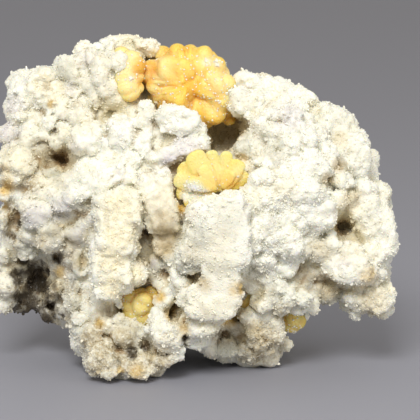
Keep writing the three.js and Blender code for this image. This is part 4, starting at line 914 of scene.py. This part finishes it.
def pushed_along_normals(piece, kind, cell, height, mask):
    """Pushes a surface in and out along its normals."""
    group, source = new_network()
    level = relief_level(group, kind, cell, height)
    if mask:
        inputs = {0: stored_mark(group, mask), 1: level}
        level = add_node(group, "ShaderNodeMath", inputs, operation="MULTIPLY")[0]
    normal = add_node(group, "GeometryNodeInputNormal")[0]
    offset = vector_math(group, "SCALE", {0: normal, "Scale": level})["Vector"]
    moved = add_node(group, "GeometryNodeSetPosition", {"Geometry": source, "Offset": offset})
    apply_network(piece, group, moved["Geometry"])


# The matrix.

def add_pebble(place, half_sizes, turn, unevenness=0):
    """A pebble whose sizes lie across, up and towards the eye."""
    bpy.ops.mesh.primitive_ico_sphere_add(
        subdivisions=2, radius=1, location=place, rotation=view_turn(turn).to_euler(), scale=half_sizes)
    pebble = bpy.context.active_object
    if unevenness:
        draw = own_draw(place)
        for point in pebble.data.vertices:
            point.co *= 1 + unevenness * draw.uniform(-1, 1)
    return pebble


def add_slab(place, half_sizes, turn):
    """A block with softened corners and uneven sides."""
    bpy.ops.mesh.primitive_cube_add(size=SLAB_SIZE)
    slab = bpy.context.active_object
    bpy.ops.object.mode_set(mode="EDIT")
    bpy.ops.mesh.select_all(action="SELECT")
    bpy.ops.mesh.subdivide(number_cuts=4)
    bpy.ops.object.mode_set(mode="OBJECT")
    shape_with(slab, "CAST", factor=SLAB_ROUNDNESS, cast_type="SPHERE")
    rotation = view_turn(turn)
    draw = own_draw(place)
    for point in slab.data.vertices:
        point.co *= 1 + draw.uniform(-SLAB_UNEVENNESS, SLAB_UNEVENNESS)
        point.co = place + rotation @ Vector(point.co[axis] * half_sizes[axis] for axis in range(3))
    return slab


def placed_lumps(tree, lumps, slabs, sunk_share):
    """Lumps and blocks from the given lists, each sunk a little into the stone that carries it."""
    pieces = []
    for x, y, half_x, half_y, half_z, turn, rise in slabs:
        place = seen_place(tree, x, y) - NEAR * (SLAB_SUNK * half_z - rise) * PIXEL
        pieces.append(add_slab(place, Vector((half_x, half_y, half_z)) * PIXEL, turn))
    for x, y, half_x, half_y, *lean in lumps:
        turn, rise = lean or (0, 0)
        half_z = LUMP_DEPTH * min(half_x, half_y)
        sunk = sunk_share * half_z - rise
        place = seen_place(tree, x, y) - NEAR * sunk * PIXEL
        half_sizes = Vector((half_x, half_y, half_z)) * LUMP_SIZE * PIXEL
        pieces.append(add_pebble(place, half_sizes, turn, LUMP_UNEVENNESS))
    return joined(pieces, "lumps")


def pit_cutter(tree):
    pebbles = []
    for x, y, half_x, half_y, turn, depth in PITS:
        half_sizes = Vector((half_x, half_y, depth)) * PIXEL
        pebbles.append(add_pebble(seen_place(tree, x, y), half_sizes, turn))
    cutter = joined(pebbles, "pits")
    melted(cutter, PIT_VOXEL)
    return cutter


def keep_near_box(piece):
    """Presses back what would stand far outside the solids' box."""
    low, high = cad_box
    for point in piece.data.vertices:
        for axis in range(3):
            over = point.co[axis] - high[axis]
            under = low[axis] - point.co[axis]
            if over > 0:
                point.co[axis] = high[axis] + PRESSED * over
            if under > 0:
                point.co[axis] = low[axis] - PRESSED * under


def stand_on_floor(piece):
    """Flattens what would reach below the floor."""
    for point in piece.data.vertices:
        point.co.z = max(0, point.co.z)


def finished_stone(piece, tree, cutter, voxels, smoothing):
    """Melts the lumps of a piece together, cuts its pits, and gives it knobs and marks for its tints."""
    lump_voxel, pitted_voxel, skin_voxel = voxels
    melted(piece, lump_voxel, smoothing)
    shape_with(piece, "BOOLEAN", operation="DIFFERENCE", object=cutter, solver="EXACT")
    melted(piece, pitted_voxel)
    mark_knobbly(piece, tree)
    mark_grainy(piece, tree)
    for kind, cell, height, mask in RELIEF:
        pushed_along_normals(piece, kind, cell * MM, height * MM, mask)
    keep_near_box(piece)
    stand_on_floor(piece)
    melted(piece, skin_voxel)
    stand_on_floor(piece)
    thin_out(piece, SKIN_TRIANGLES)
    mark_hollows(piece, HOLLOW_REACH)
    paint_tints(piece, STONE_TINTS, tree)
    smoothly_shaded(piece)


def lump_grain():
    """A rounded grain, pushed a little out of round."""
    bpy.ops.mesh.primitive_ico_sphere_add(subdivisions=2, radius=1)
    grain = bpy.context.active_object
    draw = random.Random(GRAIN_SEED)
    for point in grain.data.vertices:
        point.co *= 1 + GRAIN_UNEVENNESS * (draw.random() - 0.5)
    return grain


def stone_heart(stone):
    """The stone behind its crusts, with strewn lumps that are larger where the eye doesn't reach."""
    lump = lump_grain()
    mark_unseen(stone, "unseen")
    hidden = sunk_copy(stone, HIDDEN_SUNK)
    scatter(hidden, lump, *HIDDEN_LUMPS, "unseen")
    seen = sunk_copy(stone, SEEN_SUNK)
    scatter(seen, lump, *SEEN_LUMPS)
    core = sunk_copy(stone, CREASE_DEPTH)
    forget(lump)
    return joined([core, hidden, seen], "matrix_heart")


def whole_tree():
    """The surface of all the solids together."""
    whole = joined([merged_copy(node, "whole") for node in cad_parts], "whole")
    tree = surface_tree(whole)
    forget(whole)
    return tree


def matrix_pieces():
    """The heart of the stone, its crusts, and the surface on which their places are read."""
    stone = merged_copy("matrix", "stone")
    tree = surface_tree(stone)
    all_solids = whole_tree()
    cutter = pit_cutter(tree)
    melted(stone, ROUGH_VOXEL, 2)
    crusts = []
    for name, lumps, slabs, sunk_share in CRUSTS:
        crust = placed_lumps(all_solids if lumps is COLLAR_LUMPS else tree, lumps, slabs, sunk_share)
        crust.name = name
        finished_stone(crust, tree, cutter, CRUST_VOXELS, 1)
        crusts.append(crust)
    heart = stone_heart(stone)
    forget(stone)
    finished_stone(heart, tree, cutter, HEART_VOXELS, 0)
    forget(cutter)
    return heart, crusts, tree


# How sheltered each place is.

def directions_all_round(count):
    """Evenly spread directions."""
    spread = []
    for step in range(count):
        height = 1 - 2 * (step + 0.5) / count
        turn = step * math.pi * (3 - math.sqrt(5))
        wide = math.sqrt(1 - height * height)
        spread.append(Vector((wide * math.cos(turn), wide * math.sin(turn), height)))
    return spread


def shelter_skin(pieces):
    """A coarse skin over the whole specimen that knows how sheltered each place is."""
    skin = joined([doubled(piece) for piece in pieces], "shelter")
    melted(skin, SHELTER_VOXEL, 1)
    tree = surface_tree(skin)
    marks = new_marks(skin, "shelter")
    rays = directions_all_round(SHELTER_RAYS)
    for index, point in enumerate(skin.data.vertices):
        start = point.co + point.normal * SHELTER_START * MM
        closed = 0
        total = 0
        for ray in rays:
            slant = ray.dot(point.normal)
            if slant > SHELTER_SLANT:
                total += slant
                if tree.ray_cast(start, ray, SHELTER_REACH)[0] is not None:
                    closed += slant
        marks[index].value = closed / total
    return skin


def take_shelter(piece, skin):
    """Copies the shelter marks of the coarse skin to a piece."""
    group, source = new_network()
    shape = add_node(group, "GeometryNodeObjectInfo", {"Object": skin})["Geometry"]
    inputs = {"Mesh": shape, "Value": stored_mark(group, "shelter")}
    nearest = add_node(group, "GeometryNodeSampleNearestSurface", inputs, data_type="FLOAT")["Value"]
    store_mark(piece, group, source, "shelter", nearest)


# Sugary crystals on the stone.

def edit_top(piece):
    """Opens a piece for editing, with only the faces on its top selected."""
    choose(piece)
    bpy.ops.object.mode_set(mode="EDIT")
    bpy.ops.mesh.select_mode(type="FACE")
    bpy.ops.mesh.select_all(action="DESELECT")
    bpy.ops.object.mode_set(mode="OBJECT")
    for face in piece.data.polygons:
        face.select = face.normal.z > 0.9
    bpy.ops.object.mode_set(mode="EDIT")


def blade_grain():
    """A short flat crystal with a chamfered tip."""
    bpy.ops.mesh.primitive_cube_add(size=2, scale=(1, 0.5, 1.2))
    grain = bpy.context.active_object
    place_in_mesh()
    edit_top(grain)
    bpy.ops.mesh.extrude_region_move(TRANSFORM_OT_translate={"value": (0, 0, 0.6)})
    bpy.ops.transform.resize(value=(0.4, 0.35, 1))
    bpy.ops.object.mode_set(mode="OBJECT")
    return grain


def point_grain():
    """A short pointed crystal, a little flattened."""
    bpy.ops.mesh.primitive_cone_add(vertices=4, radius1=1, radius2=0, depth=2, scale=(1, 0.65, 1))
    place_in_mesh()
    return bpy.context.active_object


def block_grain():
    """A blocky crystal, a little wider at its foot."""
    bpy.ops.mesh.primitive_cube_add(size=2)
    grain = bpy.context.active_object
    edit_top(grain)
    bpy.ops.transform.resize(value=(0.7, 0.8, 1))
    bpy.ops.object.mode_set(mode="OBJECT")
    return grain


def sugar_bed(pieces, tree):
    """One skin over all the stone, for the small crystals to stand on."""
    bed = joined([doubled(piece) for piece in pieces], "bed")
    melted(bed, BED_VOXEL)
    mark_hollows(bed, HOLLOW_REACH)
    paint_tints(bed, STONE_TINTS, tree)
    paint_spots(bed, "front_sugar", DRUSE, tree)
    mark_grainy(bed, tree)
    mark_unseen(bed, "back_sugar")
    marks = [bed.data.attributes[name].data for name in ("grainy", "front_sugar", "back_sugar")]
    grainy, front, back = marks
    for index, point in enumerate(bed.data.vertices):
        clear = 1 if point.co.z > FOOT_CLEARANCE else 0
        close = max(SPARSE_SUGAR, front[index].value) * grainy[index].value
        front[index].value = clear * (1 - back[index].value) * close
        back[index].value *= clear
    return bed


def sugar_pieces(pieces, tree):
    """Crusts of small crystals, strewn over one skin."""
    bed = sugar_bed(pieces, tree)
    grains = {"blade": blade_grain(), "block": block_grain(), "point": point_grain()}
    crusts = []
    for name, grain, spacing, smallest, largest, tilt, seed, mask in SUGARS:
        crust = doubled(bed)
        crust.name = name
        sizes = ([smallest * MM] * 3, [largest * MM] * 3)
        scatter(crust, grains[grain], spacing * MM, *sizes, tilt, seed, mask)
        crusts.append(crust)
    for piece in (bed, *grains.values()):
        forget(piece)
    return crusts


# The rosettes.

def taken_mesh():
    """The mesh of the shape just added, without the shape."""
    shape = bpy.context.active_object
    mesh = shape.data
    bpy.data.objects.remove(shape)
    return mesh


def petal_mesh():
    """A petal: it starts narrow, widens, and ends round. It is one long, one wide and one thick."""
    bpy.ops.mesh.primitive_uv_sphere_add(
        segments=14, ring_count=14, radius=0.5, rotation=(0, math.pi / 2, 0))
    place_in_mesh()
    for point in bpy.context.active_object.data.vertices:
        along = min(1, max(0, point.co.x + 0.5))
        round_share = math.sqrt(max(0.0001, along * (1 - along))) * 2
        end = math.sqrt(max(0, 1 - max(0, (along - PETAL_END) / (1 - PETAL_END)) ** 2))
        start = math.sqrt(min(1, along / PETAL_START))
        wide = min(1, 0.35 + 1.4 * along) * end * start / round_share
        point.co = Vector((along, point.co.y * wide, point.co.z * wide))
    return taken_mesh()


def plate_mesh():
    bpy.ops.mesh.primitive_ico_sphere_add(subdivisions=4, radius=1)
    return taken_mesh()


def set_blade(mesh, middle, out, front, half_sizes):
    """One blade of a rosette, with its half length, half height and half thickness."""
    side = out.cross(front).normalized()
    long, high, thick = half_sizes
    turn = Matrix((out * long, front * high, side * thick)).transposed().to_4x4()
    blade = link_to_scene("blade", mesh.copy())
    blade.data.transform(Matrix.Translation(middle) @ turn)
    return blade


def seen_direction(angle, lean):
    """A direction in the view, leant to the eye, and the direction that faces the eye from it."""
    aside = ACROSS * math.cos(angle) + UP * math.sin(angle)
    out = aside * math.cos(lean) + NEAR * math.sin(lean)
    front = NEAR * math.cos(lean) - aside * math.sin(lean)
    return out, front


def ribbed_fan(mesh, tree, row, draw):
    """Blades that stand side by side round a hub, so that their edges show as ribs."""
    x, y, start, end, reach, height, depth, ribs, lean = row
    hub = seen_place(tree, x, y) - NEAR * depth * PIXEL
    spacing = math.radians(end - start) / ribs
    thick = FAN_THICKNESS * reach * spacing * PIXEL
    blades = []
    for step in range(ribs):
        uneven_step = step + 0.5 + draw.uniform(-FAN_ANGLE_SPREAD, FAN_ANGLE_SPREAD)
        angle = math.radians(start) + spacing * uneven_step
        out, front = seen_direction(angle, math.radians(lean))
        length = reach * draw.uniform(*FAN_REACH_SPREAD) * PIXEL
        high = height * draw.uniform(*FAN_HEIGHT_SPREAD) * PIXEL
        middle = hub + out * FAN_BLADE_MIDDLE * length
        blades.append(set_blade(mesh, middle, out, front, (FAN_BLADE_LENGTH * length, high, thick)))
    return blades


def ribbed_ball(mesh, tree, row, heart, draw):
    """A lobe of blades that share one axis, which points away from the rosette's heart."""
    x, y, half_x, half_y, half_z, rise, ribs = row
    middle = seen_place(tree, x, y) - NEAR * (half_z - rise) * PIXEL
    away = math.atan2(heart[1] - y, x - heart[0])
    out, front = seen_direction(away + BALL_TURN, BALL_LEAN)
    side = out.cross(front)
    long = math.hypot(half_x * math.cos(away), half_y * math.sin(away)) * PIXEL
    wide = math.hypot(half_x * math.sin(away), half_y * math.cos(away)) * PIXEL
    blades = []
    for step in range(ribs):
        angle = math.pi * (step + draw.uniform(-BALL_ANGLE_SPREAD, BALL_ANGLE_SPREAD)) / ribs
        facing = front * math.cos(angle) + side * math.sin(angle)
        high = math.hypot(half_z * PIXEL * math.cos(angle), wide * math.sin(angle))
        thick = high * math.sin(math.pi / ribs) * BALL_THICKNESS
        length = long * draw.uniform(*BALL_REACH_SPREAD)
        blades.append(set_blade(mesh, middle, out, facing, (length, high, thick)))
    return blades


def broad_petal(mesh, tree, row):
    """A broad petal from its hub to its tip."""
    x, y, tip_x, tip_y, width, depth, lean = row
    hub = seen_place(tree, x, y) - NEAR * depth * PIXEL
    length = math.hypot(tip_x - x, tip_y - y) * PIXEL / math.cos(math.radians(lean))
    out, front = seen_direction(math.atan2(y - tip_y, tip_x - x), math.radians(lean))
    return set_blade(mesh, hub, out, front, (length, PETAL_THICKNESS * width * PIXEL, width * PIXEL))


def rosette(node, heart, sunk, fans, balls, petals, seed):
    """A rosette of ribbed blades round its solid, melted just enough to hang together."""
    draw = random.Random(seed)
    body = merged_copy(node, node + "_blades")
    tree = surface_tree(body)
    plate = plate_mesh()
    petal = petal_mesh()
    blades = []
    for row in fans:
        blades += ribbed_fan(plate, tree, row, draw)
    for row in balls:
        blades += ribbed_ball(plate, tree, row, heart, draw)
    for row in petals:
        blades.append(broad_petal(petal, tree, row))
    shape_with(body, "DISPLACE", strength=-sunk * MM, mid_level=0)
    body = joined([body] + blades, node + "_blades")
    melted(body, ROSETTE_VOXEL, 1)
    thin_out(body, ROSETTE_TRIANGLES)
    mark_hollows(body, ROSETTE_HOLLOW_REACH)
    paint_tints(body, ROSETTE_TINTS, tree)
    smoothly_shaded(body)
    return body


def frost(rosettes):
    """White crystals on the rosettes: small ones all over, and clusters of larger ones."""
    small = joined([doubled(piece) for piece in rosettes], "frost")
    tree = surface_tree(small)
    paint_spots(small, "frost_mark", FROST, tree)
    paint_spots(small, "cluster_mark", CLUSTERS, tree)
    large = doubled(small)
    block = block_grain()
    scatter(small, block, *SMALL_FROST, "frost_mark")
    scatter(large, block, *LARGE_FROST, "cluster_mark")
    forget(block)
    return joined([small, large], "frost")


# Materials.

def new_material(name):
    material = bpy.data.materials.new(name)
    material.use_nodes = True
    return material, material.node_tree, material.node_tree.nodes["Principled BSDF"]


def read_mark(tree, name):
    return add_node(tree, "ShaderNodeAttribute", attribute_name=name)["Fac"]


def read_range(tree, mark):
    """How far a mark has come between the two values where it begins and ends."""
    name, low, high = mark
    return remap(tree, read_mark(tree, name), low, high)


def calculate(tree, operation, first, second):
    return add_node(tree, "ShaderNodeMath", {0: first, 1: second}, operation=operation,
                    use_clamp=operation != "ADD")[0]


def multiply(tree, first, second):
    return calculate(tree, "MULTIPLY", first, second)


def mix(tree, share, first, second):
    """Mixes two colours: the mixing node takes them at its inputs 6 and 7."""
    return add_node(tree, "ShaderNodeMix", {0: share, 6: first, 7: second}, data_type="RGBA")[2]


def noise(tree, scale, detail=3):
    place = add_node(tree, "ShaderNodeTexCoord")["Object"]
    inputs = {"Vector": place, "Scale": scale, "Detail": detail, "Roughness": 0.6}
    return add_node(tree, "ShaderNodeTexNoise", inputs)["Fac"]


def tinted(tree, colour, tints, patches=None):
    """Mixes tints into a colour where their marks are, a little unevenly if patches are given."""
    for name, tint, most in tints:
        share = read_mark(tree, name)
        if patches:
            share = multiply(tree, share, remap(tree, patches, 0.3, 0.7, 0.75, 1.25))
        colour = mix(tree, multiply(tree, share, most), colour, tint)
    return colour


def shaded(tree, colour, shades):
    """Paints shade into a colour: darker in creases and in sheltered places."""
    for mark, most, shade in shades:
        colour = mix(tree, multiply(tree, read_range(tree, mark), most), colour, shade)
    return colour


def fine_grain_group():
    """The relief of grains too small to model."""
    group = bpy.data.node_groups.new("Fine grain", "ShaderNodeTree")
    group.interface.new_socket("Scale", in_out="INPUT", socket_type="NodeSocketFloat")
    group.interface.new_socket("Height", in_out="OUTPUT", socket_type="NodeSocketFloat")
    scale = add_node(group, "NodeGroupInput")["Scale"]
    place = add_node(group, "ShaderNodeTexCoord")["Object"]
    inputs = {"Vector": place, "Scale": scale, "Randomness": 1}
    distance = add_node(group, "ShaderNodeTexVoronoi", inputs)["Distance"]
    add_node(group, "NodeGroupOutput", {"Height": remap(group, distance, 0, 0.8, 1, 0)})
    return group


def add_relief(tree, shader, group, scale, height, strength):
    grain = add_node(tree, "ShaderNodeGroup", {"Scale": scale}, node_tree=group)["Height"]
    inputs = {"Distance": height, "Strength": strength, "Height": grain}
    feed(tree, add_node(tree, "ShaderNodeBump", inputs)["Normal"], shader.inputs["Normal"])


def stained_and_shaded(tree, colour, patches):
    """Stains a colour and paints shade into it: tan flecks, brown creases that are partly stain and partly
    painted shade, dark earth and painted shade in the deep pits, and gold.
    """
    stain_and_shade = read_mark(tree, "stain_and_shade")
    fine = noise(tree, FINE_PATCHES, 2)
    flecks = multiply(tree, stain_and_shade, remap(tree, fine, *PATCH_EDGES, 0.35, 1.1))
    flecks = multiply(tree, flecks, remap(tree, patches, 0.35, 0.6, 0.6, 1.25))
    colour = mix(tree, multiply(tree, flecks, 0.8), colour, STAIN_TAN)
    deepest = calculate(tree, "MAXIMUM", read_range(tree, DEEP_STONE), read_range(tree, CREASED_STONE))
    # Brown in the stained creases: partly stain, partly painted shade.
    colour = mix(tree, multiply(tree, stain_and_shade, deepest), colour, BROWN_STAIN_AND_SHADE)
    # Dark earth and painted shade in the deep pits.
    ragged = calculate(tree, "ADD", read_mark(tree, "dark"), remap(tree, patches, 0.3, 0.7, -0.45, 0.2))
    colour = mix(tree, remap(tree, ragged, 0, 0.8, 0, 0.97), colour, DARK_EARTH_AND_SHADE)
    gold = multiply(tree, read_mark(tree, "gold"), remap(tree, patches, 0.3, 0.6, 0.6, 1.1))
    return mix(tree, gold, colour, GOLD_STAIN)


def stone_colour_group():
    """White stone with its tints, which thicken and thin with the grain, and painted shade that darkens it
    in hollows.
    """
    group = bpy.data.node_groups.new("Stone colour", "ShaderNodeTree")
    group.interface.new_socket("Colour", in_out="OUTPUT", socket_type="NodeSocketColor")
    broad = noise(group, BROAD_PATCHES)
    middle = noise(group, MIDDLE_PATCHES)
    colour = mix(group, remap(group, broad, 0.45, 0.75), WHITE, SOFT_GREY)
    colour = mix(group, remap(group, middle, 0.5, 0.75, 0, 0.5), colour, WARM_WHITE)
    spread = remap(group, noise(group, WIDE_PATCHES, 2), 0.5, 0.68, 0, 0.35)
    colour = mix(group, spread, colour, TAN_AND_CREASE_SHADE)
    colour = tinted(group, colour, STONE_TINT_COLOURS, middle)
    colour = shaded(group, colour, STONE_SHADES)
    add_node(group, "NodeGroupOutput", {"Colour": stained_and_shaded(group, colour, middle)})
    return group


def set_stone_colour(tree, shader, group):
    feed(tree, add_node(tree, "ShaderNodeGroup", node_tree=group)["Colour"], shader.inputs["Base Color"])


def set_dullness(tree, shader, scale, lowest, highest):
    """Gives a finish its roughness, which varies a little over the surface."""
    dullness = remap(tree, noise(tree, scale), *PATCH_EDGES, lowest, highest)
    feed(tree, dullness, shader.inputs["Roughness"])


def set_glow(shader, share, reach, scale):
    """Lets light soak into the stone."""
    shader.inputs["Subsurface Weight"].default_value = share
    shader.inputs["Subsurface Radius"].default_value = reach
    shader.inputs["Subsurface Scale"].default_value = scale


def white_stone(colour_group, grain_group):
    material, tree, shader = new_material("white stone")
    set_stone_colour(tree, shader, colour_group)
    set_dullness(tree, shader, STONE_DULLNESS, 0.35, 0.6)
    add_relief(tree, shader, grain_group, *STONE_GRAIN)
    set_glow(shader, *STONE_GLOW)
    return material


def sugar_crystal(name, colour_group):
    material, tree, shader = new_material(name)
    set_stone_colour(tree, shader, colour_group)
    set_dullness(tree, shader, CRYSTAL_DULLNESS, 0.2, 0.4)
    return material


def golden_stellerite(grain_group):
    material, tree, shader = new_material("golden stellerite")
    patches = noise(tree, GOLD_PATCHES)
    colour = mix(tree, remap(tree, patches, *PATCH_EDGES), GOLD, BRIGHT_GOLD)
    colour = tinted(tree, colour, GOLD_TINT_COLOURS)
    # Painted shade in the rosettes' creases and sheltered places.
    colour = shaded(tree, colour, GOLD_SHADES)
    # White crystals, and a painted highlight on the middle fan.
    white = multiply(tree, read_mark(tree, "white"), remap(tree, patches, 0.3, 0.6, 0.6, 1.1))
    feed(tree, mix(tree, white, colour, FROST_AND_HIGHLIGHT_WHITE), shader.inputs["Base Color"])
    set_dullness(tree, shader, GOLD_DULLNESS, 0.35, 0.6)
    add_relief(tree, shader, grain_group, *GOLD_GRAIN)
    set_glow(shader, *GOLD_GLOW)
    return material


# The specimen.

def belongs(piece, material):
    """Gives a piece its finish and its place in the specimen."""
    piece.data.materials.clear()
    piece.data.materials.append(material)
    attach(piece, "root")


def build_specimen():
    stone_colour = stone_colour_group()
    fine_grain = fine_grain_group()
    heart, crusts, tree = matrix_pieces()
    rosettes = [rosette(node, *form) for node, slot, *form in ROSETTES]
    stones = [heart] + crusts
    skin = shelter_skin(stones + rosettes)
    sugars = sugar_pieces(stones, tree)
    for piece in stones + rosettes + sugars:
        take_shelter(piece, skin)
    white = white_stone(stone_colour, fine_grain)
    golden = golden_stellerite(fine_grain)
    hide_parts("matrix")
    for piece in stones:
        belongs(piece, white)
    for piece in sugars + [frost(rosettes)]:
        belongs(piece, sugar_crystal(piece.name, stone_colour))
    for piece, (node, slot, *form) in zip(rosettes, ROSETTES):
        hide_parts(node)
        belongs(piece, golden)
    forget(skin)


build_specimen()


# Stage, light and camera.

def floor():
    bpy.ops.mesh.primitive_plane_add(size=FLOOR_SIZE, location=(0, 1, 0))
    plane = bpy.context.active_object
    plane.name = "floor"
    material, tree, shader = new_material("pale floor")
    shader.inputs["Base Color"].default_value = FLOOR_GREY
    shader.inputs["Roughness"].default_value = FLOOR_ROUGHNESS
    plane.data.materials.append(material)


def area_light(name, place, size, power, colour):
    bpy.ops.object.light_add(type="AREA", location=place)
    light = bpy.context.active_object
    light.name = name
    light.data.size = size
    light.data.energy = power
    light.data.color = colour
    aim = LIGHT_AIM - Vector(place)
    light.rotation_euler = aim.to_track_quat("-Z", "Y").to_euler()


def sky():
    world = bpy.data.worlds.new("soft room")
    world.use_nodes = True
    background = world.node_tree.nodes["Background"]
    background.inputs["Color"].default_value = SKY_COLOUR
    background.inputs["Strength"].default_value = SKY_STRENGTH
    bpy.context.scene.world = world


def camera():
    data = bpy.data.cameras.new("view")
    data.sensor_width = SENSOR_WIDTH
    data.lens = FOCAL_PIXELS * SENSOR_WIDTH / IMAGE_SIZE
    data.clip_start = CLIP_START
    eye = link_to_scene("view", data)
    eye.location = EYE
    eye.rotation_euler = (math.pi / 2 - VIEW_TILT, 0, 0)
    bpy.context.scene.camera = eye


floor()
for light in LIGHTS:
    area_light(*light)
sky()
camera()
bpy.context.scene.view_settings.view_transform = "Standard"
